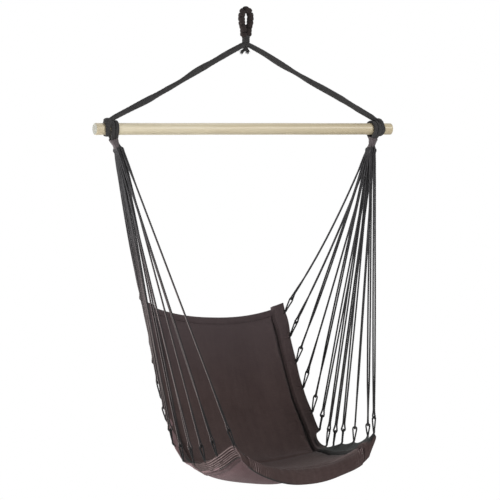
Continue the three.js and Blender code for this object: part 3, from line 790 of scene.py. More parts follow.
def makeKnot(shape):
    radius = shape["rope"] / 2
    tubes = []
    for k, (heading, tilt) in enumerate(shape["tilts"]):
        h, t = math.radians(heading), math.radians(tilt)
        first = np.array([math.cos(h), math.sin(h), 0])
        second = math.cos(t) * np.array([-math.sin(h), math.cos(h), 0]) + math.sin(t) * zAxis
        angle = np.linspace(0, 2 * math.pi * shape["lap"], 90)[:, None]
        reach = knotRadius - radius - shape["deeper"] * k + shape["waver"] * np.sin(3 * angle)
        path = knotCentre + reach * (np.cos(angle) * first + np.sin(angle) * second)
        tubes.append(laidTube(path, radius, np.cross(first, second)))
    ball = knotRadius - shape["rope"] * shape["core"]
    polar = np.linspace(0.05, math.pi - 0.05, 14)
    centres = knotCentre + ball * np.cos(polar)[:, None] * zAxis
    wide = ball * np.sin(polar)[:, None]
    rings = ringsRound(centres, xAxis[None], yAxis[None], circle(24), wide, wide)[:, ::-1]
    tubes.append((rings, polar * ball, np.linspace(0, 0.05, 25)))
    dress(tubesObject("crotchKnot", tubes), "knot", "rope", [ropeYarn], "crotch_knot")


makeKnot(knotShape)


# Tails: two cut ends of the rope under the knot. Each is a short braided end that opens into fibres.
tailShape = {
    "left": {"reach": -0.0108, "drop": 0.0160, "beside": 0.0042, "fray": 0.008, "fibres": 60, "seed": 3},
    "right": {"reach": 0.0016, "drop": 0.0125, "beside": -0.0042, "fray": 0.0105, "fibres": 90, "seed": 8},
    "rope": 0.0110,
    "tip": 0.0100,
    "fibre": 0.00055,
    "sunk": 0.004,  # how far it starts up inside the knot
    "reachShares": (-0.10, 0.22, 1.0),  # inside the knot, at half the drop and at the end
    "besideShares": (0.5, 1.0, 1.35),
    "flat": (1.08, 0.92),
    "spread": 0.42,
    "tuft": 0.26,
}
tailBraid = {"pitch": 0.007, "strands": 4, "relief": 0.0005}


# One fibre of the frayed end: it leaves along one direction and bends toward another.
def fibreTube(start, leave, bend, length, thickness):
    half = start + leave * length * 0.5
    path = evenPath(np.stack([start, half, half + bend * length * 0.5]), length / 5)
    _, across, up = pathAxes(path, yAxis if abs(leave[1]) < 0.8 else xAxis)
    thin = (thickness * np.linspace(1, 0.35, len(path)))[:, None]
    return ringsRound(path, across, up, circle(4), thin, thin), lengthsOf(path), np.linspace(0, 0.002, 5)


def makeTail(name, shape):
    tail = shape[name]
    top = knotCentre - zAxis * (knotRadius - 0.001)
    level = shape["sunk"], -tail["drop"] / 2, -tail["drop"]
    reach, beside = (tail[key] * np.array(shape[f"{key}Shares"]) for key in ("reach", "beside"))
    path = evenPath(top + np.stack([reach, beside, level], -1), 0.0006)
    radius = blendOf(shape["rope"], shape["tip"], np.linspace(0, 1, len(path))) / 2
    tubes = [braidedTube(path, yAxis, radius * shape["flat"][0], radius * shape["flat"][1], tailBraid, 24)]
    draw = np.random.default_rng(tail["seed"])
    direction = unit(path[-1] - path[-4])
    for _ in range(tail["fibres"]):
        spread = draw.normal(0, shape["spread"], 3)
        start = path[-3] + draw.normal(0, shape["tip"] * shape["tuft"], 3)
        length = tail["fray"] * draw.uniform(0.45, 1.0)
        leave, bend = unit(direction + spread * 0.5), unit(direction + spread)
        tubes.append(fibreTube(start, leave, bend, length, shape["fibre"]))
    dress(tubesObject(f"{name}Tail", tubes), "bridle", "rope", [ropeYarn], f"tail_{name}")


for sideName in sides:
    makeTail(sideName, tailShape)
print("throat, knot and tails made")


# Bridle: a soft braided sleeve from the knot over the slings to the bar. It is wound once round the bar
# pressed flat, and its end is tucked up beside itself on top.
bridleShape = {
    "rope": 0.0158,
    "flat": 0.0118,  # thickness of the sleeve where it hangs
    "hitchPlace": 0.460,
    "hitchWidth": 0.0158,
    "hitchThickness": 0.0050,
    "slingPlace": 0.433,
    "slingThickness": 0.0080,
    "seatGap": 0.0004,
    "waves": {  # mm, how far each leg lies above a straight line, from the knot to the bar
        "left": [1.0, 1.1, -0.2, -0.4, -3.7, -4.3, -4.4, -2.7, -1.5],
        "right": [2.5, 1.9, -0.8, -1.3, -1.4, 0.2, 0.9, -0.5, -1.5],
    },
    "turnShares": {
        "left": [0.1, 0.3, 0.0, 0.25, 0.5, 0.2, 0.0],
        "right": [0.0, 0.35, 0.1, 0.0, 0.4, 0.15, 0.0],
    },
    "widthShares": {
        "left": [1.08, 1.16, 1.22, 1.28, 0.90, 1.18, 1.30, 1.08, 1.00],
        "right": [0.98, 1.08, 1.22, 0.98, 1.12, 1.26, 1.26, 1.18, 1.10],
    },
    "upright": 0.94,  # the leg's thickness against its width
    "windTo": {"left": -1.0, "right": 1.0},  # 1 goes down before the bar first, -1 behind it
    "winding": [-12, 6, 22, 42, 66, 95, 130, 165, 200, 235, 270, 305, 332, 352],  # degrees from the top
    "pressedFrom": (20, 75),  # degrees between which it goes flat
    "tuckedFrom": (285, 335),  # degrees between which it swells to the tuck
    "outward": {  # mm, where the winding lies along the bar at each angle in degrees
        "left": [[-12, -10.5], [60, -5.0], [95, -4.0], [180, -5.0], [270, 1.8], [352, -3.5]],
        "right": [[-12, -10.5], [60, -4.0], [95, -1.5], [180, -7.5], [270, -9.0], [352, -12.0]],
    },
    "tuckWidth": {"left": 0.024, "right": 0.0165},
    "tuckHeight": {"left": 0.0152, "right": 0.0065},
    "narrow": 0.10,  # how much thinner the leg is where it is drawn tight
    "startShare": 0.45,  # where it starts, in the knot's radius
    "laidOver": (-0.02, 0.03),  # metres past the sling, where the leg goes over into the winding
    "meeting": (0.06, 300),  # so near to the leg's end, angles past this one are still the leg's
    "step": 0.0011,
}
sleeveBraid = {"pitch": 0.0135, "strands": 8, "relief": 0.0007}


def makeBridle(name, side, shape):
    half = shape["rope"] / 2
    hitch = shape["hitchThickness"] / 2
    tuckHeight, tuckWidth, windTo = (shape[key][name] for key in ("tuckHeight", "tuckWidth", "windTo"))
    slingTop = barRadius + shape["seatGap"] + shape["slingThickness"]
    over = np.array([side * shape["slingPlace"], 0, barAxis + slingTop + half])
    direction = unit(over - knotCentre)
    start = knotCentre + direction * knotRadius * shape["startShare"]
    along = np.linspace(0, 1, 9)[:, None]
    square = side * unit(np.cross(direction, yAxis))
    waves = 0.001 * np.array(shape["waves"][name])[:, None] * np.sin(along * math.pi / 1.06) ** 0.3
    leg = blendOf(start, over, along) + square * waves
    degrees = np.array(shape["winding"])
    angle = np.radians(degrees)
    lift = blendOf(half * shape["upright"], hitch, smoothStep(18, 80, degrees))
    lift = blendOf(lift, tuckHeight / 2, smoothStep(*shape["tuckedFrom"], degrees))
    reach = barRadius + shape["seatGap"] + lift
    turns, outward = np.array(shape["outward"][name]).T
    windX = side * (shape["hitchPlace"] + np.interp(degrees, turns, outward) * 0.001)
    wind = np.stack([windX, -windTo * reach * np.sin(angle), barAxis + reach * np.cos(angle)], -1)
    path = evenPath(np.vstack([leg, wind]), shape["step"])
    lengths = lengthsOf(path)
    # The section's broad side turns slowly along the leg and lies flat on the bar in the winding.
    bar = np.stack([path[:, 0], 0 * path[:, 0], np.full(len(path), barAxis)], -1)
    legEnd = lengths[np.argmin(np.linalg.norm(path - over, axis=1))]
    place = np.clip(lengths / legEnd, 0, 1)
    past = lengths - legEnd
    onLeg = 1 - smoothStep(*shape["laidOver"], past)
    turn = smoothValue(shape["turnShares"][name], place)[:, None] * math.pi / 2
    tangent = unit(np.gradient(path, axis=0))
    flatAcross = unit(np.cross(unit(path - bar), tangent))
    legUp = unit(np.cross(tangent, yAxis))
    legAcross = np.cos(turn) * legUp + np.sin(turn) * np.cross(tangent, legUp)
    same = np.sign((legAcross * flatAcross).sum(-1, keepdims=True) + 1e-9)
    hint = blendOf(flatAcross, legAcross * same, onLeg[:, None])
    # Degrees from the top of the bar at each point of the path, 0 on the leg and where the leg meets it.
    near, turned = shape["meeting"]
    wound = np.degrees(np.arctan2(-windTo * path[:, 1], path[:, 2] - barAxis)) % 360
    wound = np.where((past < 0) | ((past < near) & (wound > turned)), 0, wound)
    pressing, tucked = (smoothStep(*shape[key], wound) for key in ("pressedFrom", "tuckedFrom"))
    thick = half * np.where(past < 0, smoothValue(shape["widthShares"][name], place), 1.0)
    wide = blendOf(blendOf(thick, shape["hitchWidth"] / 2, pressing), tuckWidth / 2, tucked)
    high = blendOf(thick * shape["upright"], shape["flat"] / 2, onLeg)
    high = blendOf(blendOf(high, hitch, pressing * (1 - tucked)), tuckHeight / 2, tucked)
    narrow = 1 - shape["narrow"] * smoothStep(0.5, 1.0, np.sin(lengths * 31 + 2 * side)) * onLeg
    tube = braidedTube(path, hint, wide * narrow, high, sleeveBraid, 56)
    dress(tubesObject(f"{name}Bridle", [tube]), "bridle", "rope", [ropeYarn], f"bridle_{name}")


for sideName, side in sides.items():
    makeBridle(sideName, side, bridleShape)
print("bridle made")


# Slings: soft strands over the bar. Each comes up out of the neck before the bar and goes down into it
# behind, and lies a little further out before the bar than behind it.
slingShape = {
    "width": 0.0130,
    "thickness": 0.0080,
    "gap": 0.0004,
    "tip": 0.033,
    "foot": 0.0060,
    "footWidth": 0.0104,
    "footThickness": 0.0072,
    "into": 0.014,
    "inward": 0.30,  # how far a strand has drawn in toward the bundle where it leaves the bar
    "squeezed": 0.15,  # share of a strand's length, at each end, where it thins
    "apart": 0.0034,  # of the strands in the neck
    "slant": 0.0035,
}
slingBraid = {"pitch": 0.011, "strands": 6, "relief": 0.0006}


def makeSling(side, outward, shape):
    x = side * (bridleShape["slingPlace"] + outward * shape["width"] / 2)
    reach = barRadius + shape["gap"] + shape["thickness"] / 2
    contact = math.acos((reach - shape["foot"]) / (shape["tip"] - shape["foot"]))
    angle = np.linspace(-math.pi / 2 + contact, 1.5 * math.pi - contact, 13)
    slanted = x + side * shape["slant"] * (0.6 + np.cos(angle))
    wrap = np.stack([slanted, -reach * np.cos(angle), barAxis + reach * np.sin(angle)], -1)
    down, _, top = bundleAxes(side)
    inside = top + down * shape["into"] + xAxis * side * outward * shape["apart"]
    feet = []
    for forward in (-1, 1):
        entry = blendOf(np.array([x, 0, top[2]]), top, shape["inward"]) + yAxis * forward * shape["foot"]
        feet.append(np.array([inside + yAxis * forward * shape["foot"] * 0.5, entry + zAxis * 0.002]))
    path = evenPath(np.vstack([feet[0], wrap, feet[1][::-1]]), 0.001)
    share = lengthsOf(path) / lengthsOf(path)[-1]
    squeeze = smoothStep(0, shape["squeezed"], share) * smoothStep(0, shape["squeezed"], 1 - share)
    wide = blendOf(shape["footWidth"], shape["width"], squeeze) / 2
    high = blendOf(shape["footThickness"], shape["thickness"], squeeze) / 2
    return braidedTube(path, xAxis, wide, high, slingBraid, 40)


# Neck: a tape wound down round the strands, higher behind than before. The bundle leans inward as the
# cords draw it.
neckShape = {
    "radius": 0.0120,
    "length": 0.024,
    "lean": {"left": 27.0, "right": 12.0},  # degrees
    "tape": 0.0058,
    "tapeThickness": 0.0022,
    "turns": 8,
    "tilt": 0.0026,
    "above": 0.007,  # how far the tape goes up over the strands
    "crossing": 0.0011,
    "bulge": [1.22, 1.10, 1.04, 0.95, 0.88, 0.90, 1.0],
    "coreShares": [0.756, 0.8904, 0.798, 0.7392, 0.756, 0.798],
}
tapeBraid = {"pitch": 0.004, "strands": 3, "relief": 0.0003}


def bundleAxes(side):
    lean = math.radians(neckShape["lean"][nameOf(side)])
    down = np.array([-side * math.sin(lean), 0, -math.cos(lean)])
    across = unit(np.cross(down, yAxis))
    top = np.array([side * bridleShape["slingPlace"], 0, barAxis - slingShape["tip"] - slingShape["gap"]])
    return down, across, top


def makeNeck(name, side, shape):
    down, across, top = bundleAxes(side)
    angle = np.linspace(0, shape["turns"] * 2 * math.pi, shape["turns"] * 40)
    climb = angle / angle[-1]
    reach = (shape["radius"] * smoothValue(shape["bulge"], climb) - shape["tapeThickness"] / 2)[:, None]
    ring = np.cos(angle)[:, None] * across - np.sin(angle)[:, None] * yAxis
    # The tape lies higher behind than before, less so further down, and crosses itself in every turn.
    crossing = np.where((angle // (2 * math.pi)) % 2 < 1, 1.0, -1.0) * np.cos(angle)
    tilt = shape["tilt"] * np.sin(angle) * (1 - climb) + shape["crossing"] * crossing
    inset = shape["tape"] * 0.35
    level = blendOf(inset - shape["above"], shape["length"] - inset, climb)
    path = top + down * (level + tilt)[:, None] + ring * reach
    tubes = [braidedTube(path, down, shape["tape"] / 2, shape["tapeThickness"] / 2, tapeBraid, 16)]
    share = np.linspace(0, 1, 10)
    girth = shape["radius"] * smoothValue(shape["coreShares"], share)[:, None]
    centres = top + down * (share * shape["length"])[:, None]
    core = ringsRound(centres, across[None], -yAxis[None], circle(24), girth, girth)
    tubes.append((core, share * shape["length"], np.linspace(0, 0.07, 25)))
    dress(tubesObject(f"{name}Neck", tubes), "seat", "binding", [bindingYarn], f"neck_{name}")


for sideName, side in sides.items():
    for nodeName, outward in (("inner", -1), ("outer", 1)):
        tube = makeSling(side, outward, slingShape)
        strand = tubesObject(f"{sideName}Sling{nodeName.capitalize()}", [tube])
        dress(strand, "seat", "rope", [ropeYarn], f"sling_{sideName}_{nodeName}")
    makeNeck(sideName, side, neckShape)
print("slings and necks made")


# Seat cloth: its middle surface is set by a side view of the side hems and one of the middle line.
seatShape = {
    "length": 0.940,
    "halfWidth": 0.257,
    "backHeight": 0.420,
    "backLean": 0.261,
    "panDepth": 0.372,
    "drop": 0.533,  # from the bar's axis to the top corner of the side hems
    "bendForward": 0.018,
    "hemWidth": 0.036,
    "scallops": {  # mm, between each two loops
        "left": [5.0, 4.0, 6.0, 4.0, 5.0, 4.5, 5.0, 4.0, 3.5, 2.5, 3.0],
        "right": [-4.0, 0.5, 1.5, 0.5, 2.0, 14.0, 5.0, 3.0, 4.0, 6.0, 14.0],
    },
    "skews": {  # under 1 a curve is deepest nearer to its upper loop, over 1 nearer to its lower one
        "left": [1.0] * 11,
        "right": [1.0, 1.0, 1.0, 1.0, 1.0, 0.6, 1.0, 1.0, 1.0, 1.0, 2.2],
    },
    "ear": {"left": -0.005, "right": -0.0080},
    "loopShifts": [0, 0, 0, 0, 3, -5, 8, 3, 0, 0, 16, 0],  # mm along the right hem, which is bunched up
    "earTurn": {"left": 0.001, "right": 0.010},  # how far the hem turns in at its front end
    "laceInset": 0.017,
    "padThickness": 0.026,
    "edgeThickness": 0.010,
    "topMargin": 0.022,
    "frontMargin": 0.050,
    "bandWidth": 0.048,
    "topHemWidth": 0.022,
    "twist": 0.030,
    "drift": 0.020,
    "sagPower": 2.3,
    "panDip": 0.011,
    "panStart": (0.62, 0.72),
    "panEnd": (0.93, 1.0),  # where the dip falls to less than half again
    "cords": 12,
    "widthShares": [0.94, 0.93, 0.948, 0.972, 1.003, 1.002, 0.969, 0.953, 0.953, 0.934, 0.83],
    "twistShares": [0.32, 0.42, 0.63, 0.9, 0.97, 0.65, -0.3, -0.6, -0.57, -0.4, -0.05],
    "driftShares": [0.65, 0.7, 0.75, 0.75, 0.75, 0.4, -0.15, -0.6, -0.7, -0.7, -0.3],
    "hemShares": [[1, 1], [0.835, 0.8], [0.575, 0.455], [0.41, 0.3], [0.22, 0.157], [0, 0.03],
                  [-0.185, -0.017], [-0.39, 0.005], [-0.605, 0.033], [-0.81, 0.08], [-1, 0.15],
                  [-1.03, 0.09], [-1.035, 0.03]],
    "middleShares": [[1.015, 0.9], [0.95, 0.715], [0.843, 0.535], [0.67, 0.31], [0.44, 0.09], [0.134, -0.07],
                     [-0.175, -0.14], [-0.457, -0.157], [-0.753, -0.13], [-0.965, -0.062], [-1.027, -0.09],
                     [-1.038, -0.15]],
}
bendLevel = barAxis - seatShape["drop"] - seatShape["backHeight"]


def sideLine(shares, shape):
    place, level = np.array(shares, float).T
    y = place * np.where(place > 0, shape["backLean"], shape["panDepth"]) - shape["bendForward"]
    return smoothCurve(np.stack([y, bendLevel + level * shape["backHeight"]], -1))


hemLine = sideLine(seatShape["hemShares"], seatShape)
middleLine = sideLine(seatShape["middleShares"], seatShape)


def widthAt(share):
    return seatShape["halfWidth"] * smoothValue(seatShape["widthShares"], share)


# share runs down the cloth from the top of the back, across from -1 at the left edge to 1 at the right.
# Between the side hem and the middle the pan dips, so that the hems stand up steeply beside it.
def clothInside(share, across):
    hem = pointsAt(hemLine, share * hemLine[0][-1])
    middle = pointsAt(middleLine, share * middleLine[0][-1])
    sag = (1 - np.abs(across) ** seatShape["sagPower"])[..., None]
    yz = blendOf(hem, middle, sag)
    x = across * widthAt(share) + seatShape["drift"] * smoothValue(seatShape["driftShares"], share)
    z = yz[..., 1] - across * seatShape["twist"] * smoothValue(seatShape["twistShares"], share)
    away = np.maximum(fromEdge(share, across), 0) / seatShape["hemWidth"]
    dip = seatShape["panDip"] * smoothStep(*seatShape["panStart"], share)
    dip = dip * (1 - 0.55 * smoothStep(*seatShape["panEnd"], share))
    return np.stack([x, yz[..., 0], z - dip * away * np.exp(1 - away)], -1)


nudge = 1e-3  # a small step down or across the cloth, for its directions


# Past its two ends the cloth goes straight on.
def clothAt(share, across):
    share, across = np.broadcast_arrays(np.asarray(share, float), np.asarray(across, float))
    clipped = np.clip(share, 0, 1)
    place = clothInside(clipped, across)
    past = (share - clipped)[..., None]
    if np.any(past):
        inner = np.clip(clipped, 2 * nudge, 1 - 2 * nudge)
        slope = clothInside(inner + 2 * nudge, across) - clothInside(inner - 2 * nudge, across)
        place = place + slope / (4 * nudge) * past
    return place


# The same surface with the direction square to it, toward the sitter.
def clothWithNormal(share, across):
    down = clothAt(share + nudge, across) - clothAt(share - nudge, across)
    right = clothAt(share, across + nudge) - clothAt(share, across - nudge)
    return clothAt(share, across), unit(np.cross(down, right))


# How far a place of the cloth lies from its nearer edge, in metres.
def fromEdge(share, across):
    return (1 - np.abs(across)) * widthAt(share)


cordNumbers = range(1, seatShape["cords"] + 1)
looped = seatShape["length"] - seatShape["topMargin"] - seatShape["frontMargin"]
loopPitch = looped / (seatShape["cords"] - 1)


def loopPlace(k, side):
    shift = seatShape["loopShifts"][k - 1] * 0.001 if side > 0 else 0
    return (seatShape["topMargin"] + (k - 1) * loopPitch + shift) / seatShape["length"]


# How far the hem's outer edge lies inside the line through the lacing loops: a shallow curve between
# each two, and past the last one an ear that stands out before the hem turns in at its front end.
def scallopAt(share, side):
    name = nameOf(side)
    feet = np.array([loopPlace(k, side) for k in cordNumbers])
    phase = np.interp(share, feet, np.arange(seatShape["cords"]))
    between = np.clip(np.floor(phase), 0, seatShape["cords"] - 2).astype(int)
    depth = np.array(seatShape["scallops"][name])[between] * 0.001
    skew = np.array(seatShape["skews"][name])[between]
    waves = depth * np.abs(np.sin(math.pi * np.clip(phase - between, 0, 1) ** skew)) ** 0.8
    front = np.maximum(share - feet[-1], 0) * seatShape["length"] / loopPitch
    ear = seatShape["ear"][name] * np.exp(-((front - 0.22) / 0.16) ** 2) * (front > 0)
    return waves + ear + seatShape["earTurn"][name] * smoothStep(0.34, 0.66, front)


# Suspension cords and lacing

cordShape = {
    "thickness": 0.0050,
    "gap": 0.00045,
    "lace": 0.0045,
    "swell": 1.12,  # the strands' crests stand out past the nominal thickness
    "loopLength": 0.048,
    "slack": 0.0007,
    "crownHeight": 0.012,
    "crownSteps": [[-0.5, 0.55], [0.10, 0.80], [0.45, 1.04], [0.8, 1.06]],  # shares down it and of its reach
    "slackShares": [0.05, 0.035, 0.02, 0.01],  # of the topmost cords, in their length
    "facedFrom": 0.16,  # share of the cord from where the strands lie at their own facing
    "turnedFrom": (0.80, 0.98),  # where they turn into the plane of the lacing loop
    "apartAt": (0.62, 0.24),
    "together": 0.0005,
    # the painted highlight on a cord's flank: the direction it faces, how far it must face it, and the
    # heights where it grows
    "flankHighlight": {"facing": (0.978, 0.208), "from": (0.62, 0.95), "levels": (-0.58, -0.92)},
    "front": (-0.454, -0.891, 0.0),  # where the chair is mostly seen from
    "facing": {  # degrees between that direction and the line from one strand to the other
        "left": [50, 20, 75, 10, 40, 80, 25, 60, 15, 5, 30, 8],
        "right": [8, 12, 40, 5, 55, 80, 85, 60, 78, 25, 80, 88],
    },
    "apart": {  # how much further the strands lie apart halfway
        "left": [0.2, 0, 0.5, 0, 0, 0.3, 0, 0.5, 0, 0, 0.2, 0],
        "right": [0, 0.1, 0.6, 0, 0.4, 0.7, 0.4, 0.2, 0.6, 0.1, 0.4, 0.3],
    },
    "limbHeights": [0.02, 0.22, 0.50],  # of a lacing loop's limb, in the loop's length
    "limbWidths": [1.06, 1.15, 1.75],  # how far each limb lies from its middle, in the lace's radius
    "loopShares": {  # length of each lacing loop
        "left": [0.9, 1.05, 0.95, 1.0, 1.1, 0.9, 1.0, 1.05, 0.95, 1.0, 0.9, 1.05],
        "right": [1.06, 1.04, 1.02, 1.12, 1.10, 0.98, 1.10, 1.04, 0.90, 0.96, 0.84, 1.16],
    },
    "twists": {  # degrees that each link is turned about its own pull
        "left": [20, -35, 50, -15, 40, 65, -30, 25, -50, 35, 10, -20],
        "right": [10, -12, 25, 6, 30, -20, 25, 0, -10, 62, 60, 22],
    },
}
linkRadius = cordShape["thickness"] / 2 + cordShape["lace"] / 2 + cordShape["slack"]
strandPitch = cordShape["thickness"] + cordShape["gap"]


def crownPlace(side, k):
    down, across, top = bundleAxes(side)
    end = top + down * (neckShape["length"] + 2 * cordShape["gap"] + cordShape["crownHeight"])
    column = -1 if k % 2 else 1
    row = (seatShape["cords"] + 1) / 2 - k
    return end + across * column * strandPitch + yAxis * row * strandPitch / 2


# Axes of the link where a cord and its lacing loop meet: its foot, the cord's pull, the loop's plane
# and the direction square to it, the direction along the hem and how square the pull is to the hem.
def linkAxes(side, k):
    place = loopPlace(k, side)
    foot = clothAt(place, side)
    pull = unit(crownPlace(side, k) - foot)
    ahead = unit(clothAt(place + nudge, side) - clothAt(place - nudge, side))
    slant = math.sqrt(1 - float(ahead @ pull) ** 2)
    spread = unit(ahead - pull * (ahead @ pull))
    normal = np.cross(pull, spread)
    normal = normal if normal[0] > 0 else -normal
    turn = math.radians(cordShape["twists"][nameOf(side)][k - 1])
    turned = math.cos(turn) * spread + math.sin(turn) * normal
    return foot, pull, turned, math.cos(turn) * normal - math.sin(turn) * spread, spread, slant


# The same line through both strands, turned by whole half turns so that it is nearest to another angle.
def nearestHalfTurn(angle, other):
    return angle - round((angle - other) / math.pi) * math.pi


def loopLengthOf(name, k):
    return cordShape["loopLength"] * cordShape["loopShares"][name][k - 1]


# One doubled cord: down from the neck through the crown, round the lacing loop and up again. Its two
# strands turn about each other a little at both ends, and lie apart in places.
def cordPath(side, k):
    name = nameOf(side)
    foot, pull, _, normal, *_ = linkAxes(side, k)
    down, across, neckTop = bundleAxes(side)
    top = crownPlace(side, k)
    neckEnd = neckTop + down * neckShape["length"]
    lace = cordShape["lace"] / 2
    arcCentre = foot + pull * (loopLengthOf(name, k) - lace)
    joined = arcCentre + pull * 3 * linkRadius
    slackShares = cordShape["slackShares"]
    slack = np.linalg.norm(top - joined) * (slackShares[k - 1] if k <= len(slackShares) else 0)
    t = np.linspace(0, 1, 31)[:, None]
    middle = blendOf(top, joined, t) - zAxis * 4 * slack * t * (1 - t)
    side1 = unit(across - pull * (across @ pull))
    side2 = np.cross(pull, side1)
    facing = math.radians(cordShape["facing"][name][k - 1])
    depth = np.array(cordShape["front"])
    depth = unit(depth - pull * (depth @ pull))
    lying = math.cos(facing) * depth + math.sin(facing) * np.cross(pull, depth)
    midAngle = nearestHalfTurn(math.atan2(float(lying @ side2), float(lying @ side1)), 0)
    rawEnd = math.atan2(float(normal @ side2), float(normal @ side1))
    endAngle = nearestHalfTurn(rawEnd, midAngle)
    angle = midAngle * smoothStep(0.0, cordShape["facedFrom"], t)
    angle = angle + (endAngle - midAngle) * smoothStep(*cordShape["turnedFrom"], t)
    apart = cordShape["apart"][name][k - 1] * bell(t, *cordShape["apartAt"])
    gap = (strandPitch - cordShape["together"]) / 2 * (1 + apart)
    offset = gap * (np.cos(angle) * side1 + np.sin(angle) * side2)
    sign = -1 if round((endAngle - rawEnd) / math.pi) % 2 else 1
    arcAngle = np.linspace(0, math.pi, 9)[:, None]
    arc = arcCentre + sign * linkRadius * np.cos(arcAngle) * normal - linkRadius * np.sin(arcAngle) * pull

    def rise(strand):
        radial = strand - neckEnd
        radial = radial - down * (radial @ down)
        steps = np.array(cordShape["crownSteps"])
        return neckEnd + down * (steps[:, :1] * cordShape["crownHeight"]) + radial * steps[:, 1:]

    first, second = middle + offset, middle - offset
    points = np.vstack([rise(first[0]), first, arc, second[::-1], rise(second[0])[::-1]])
    return points, normal


# Painted highlight: the side of a cord that faces outward and a little back is painted pale as if lit, more
# so further down.
def flankHighlightAt(tube, path, side):
    shape = cordShape["flankHighlight"]
    x, y = shape["facing"]
    outward = unit(tube[0] - path[:, None]) @ np.array([side * x, y, 0.0])
    return smoothStep(*shape["from"], outward) * smoothStep(*shape["levels"], path[:, 2:])


def makeCords(name, side):
    for k in cordNumbers:
        points, normal = cordPath(side, k)
        radius = cordShape["thickness"] / 2 * cordShape["swell"]
        path = evenPath(points, laidStep(radius))
        tube = laidTube(path, radius, normal)
        marks = {"rubbed": laidCrests(len(path)), "flankHighlight": flankHighlightAt(tube, path, side)}
        cord = tubesObject(f"{name}Cord{k:02d}", [tube], **marks)
        nodes = [f"cord_{name}_{k:02d}"] + ([f"crown_{name}"] if k == 1 else [])
        dress(cord, "seat", "cord", [cordYarn], *nodes)


# The lacing runs inside the hem and comes out of it as a drop-shaped loop at each suspension cord.
def makeLacing(name, side):
    radius = cordShape["lace"] / 2

    def channel(share):
        return clothAt(share, side * (1 - seatShape["laceInset"] / widthAt(share)))

    points = [channel(seatShape["topMargin"] * 0.12 / seatShape["length"])]
    arcAngle = np.linspace(0, math.pi, 7)[:, None]
    for k in cordNumbers:
        foot, pull, turned, _, spread, slant = linkAxes(side, k)
        apart = linkRadius / max(slant, 0.6) / seatShape["length"]
        reach = loopLengthOf(name, k)
        centre = foot + pull * (reach - radius - linkRadius)

        def limb(sign):
            heights = np.array(cordShape["limbHeights"])[:, None] * reach
            widths = np.array(cordShape["limbWidths"])[:, None] * radius
            leaving = np.stack([spread, blendOf(spread, turned, 0.5), turned])
            return [channel(loopPlace(k, side) + sign * 1.6 * apart),
                    *(foot + pull * heights + unit(leaving) * sign * widths)]

        arc = centre - linkRadius * np.cos(arcAngle) * turned + linkRadius * np.sin(arcAngle) * pull
        points += [*limb(-1), *arc, *limb(1)[::-1]]
    points.append(channel(1 - seatShape["frontMargin"] / 2 / seatShape["length"]))
    drawn = radius * cordShape["swell"]
    path = evenPath(np.array(points), laidStep(drawn))
    tube = laidTube(path, drawn, pathHint(path))
    lacing = tubesObject(f"{name}Lacing", [tube], rubbed=laidCrests(len(path)) * 0.5)
    dress(lacing, "seat", "cord", [cordYarn], f"lacing_{name}")


# A direction that stays square to the path: at each step the last one, turned as little as it can be.
def pathHint(path):
    tangent = unit(np.gradient(path, axis=0))
    hints = np.empty_like(path)
    hint = xAxis
    for i, t in enumerate(tangent):
        hint = hint - t * (hint @ t)
        hint = hint / np.linalg.norm(hint)
        hints[i] = hint
    return hints


for sideName, side in sides.items():
    makeCords(sideName, side)
    makeLacing(sideName, side)
print("cords and lacing made")


# Seat pad: a closed shell of a sitter side and an under side that meet in a thin rim, which lies hidden
# in the hems. The cloth is simulated on a coarse grid and its shape is carried over to a fine one.
padShape = {
    "coarse": (130, 66),
    "fine": (300, 144),
    "startShare": 0.72,
    "rim": 0.0022,  # half the thickness at the rim
    "tuck": 0.0040,  # how far the rim reaches into the hems
    "cap": 0.0035,  # the most that the simulation may move it
    "pressure": 4.0,
    "rimPower": 4.0,
    "fill": 0.45,
    "cloth": {"quality": 4, "mass": 0.3, "tension_stiffness": 12, "compression_stiffness": 12,
              "shear_stiffness": 6, "bending_stiffness": 0.6, "shrink_min": -0.012},
    "frames": 20,
}


# Middle surface, its direction and half the thickness, on a grid of rows down and columns across.
def padGrid(shape, rows, columns):
    length = seatShape["length"]
    first = (seatShape["topHemWidth"] - shape["tuck"]) / length
    last = 1 - (seatShape["bandWidth"] - shape["tuck"]) / length
    u = np.linspace(0, 1, rows)[:, None]
    v = np.linspace(0, 1, columns)[None]
    share = blendOf(first, last, u) + 0 * v
    reach = 1 - (seatShape["hemWidth"] - shape["tuck"]) / widthAt(share)
    across = reach * (2 * v - 1)
    middle, normal = clothWithNormal(share, across)
    rim = (1 - np.abs(2 * u - 1) ** shape["rimPower"]) * (1 - np.abs(2 * v - 1) ** shape["rimPower"])
    half = blendOf(shape["rim"], seatShape["padThickness"] / 2 * shape["startShare"], rim)[..., None]
    return share, across, middle, normal, half


def padRings(shape, rows, columns):
    share, across, middle, normal, half = padGrid(shape, rows, columns)
    rings = np.concatenate([middle + normal * half, (middle - normal * half)[:, ::-1]], 1)
    outward = np.concatenate([normal, -normal[:, ::-1]], 1)
    return share, across, rings, outward


def padFaces(rows, columns):
    count = 2 * columns
    quads, i, j = gridFaces(rows, count)
    k = np.arange(columns - 1)
    last = (rows - 1) * count
    topCap = np.stack([k, k + 1, count - 2 - k, count - 1 - k], -1)
    endCap = np.stack([last + k + 1, last + k, last + count - 1 - k, last + count - 2 - k], -1)
    return np.vstack([quads[:, [0, 3, 2, 1]], topCap, endCap]), i, j


# Surface coordinates of those faces, in metres: across the cloth and along it.
def padUv(share, across, i, j):
    vAt = np.concatenate([across[0], across[0, ::-1], across[0, :1]]) * seatShape["halfWidth"]
    uAt = share[:, 0] * seatShape["length"]
    uv = cornerUv((vAt[j], vAt[j], vAt[j + 1], vAt[j + 1]), (uAt[i], uAt[i + 1], uAt[i + 1], uAt[i]))
    k = np.arange(across.shape[1] - 1)
    cap = vAt[np.stack([k, k + 1, k + 1, k], -1)].reshape(-1, 1) * np.array([[1, 0]])
    return np.vstack([uv, cap, cap])


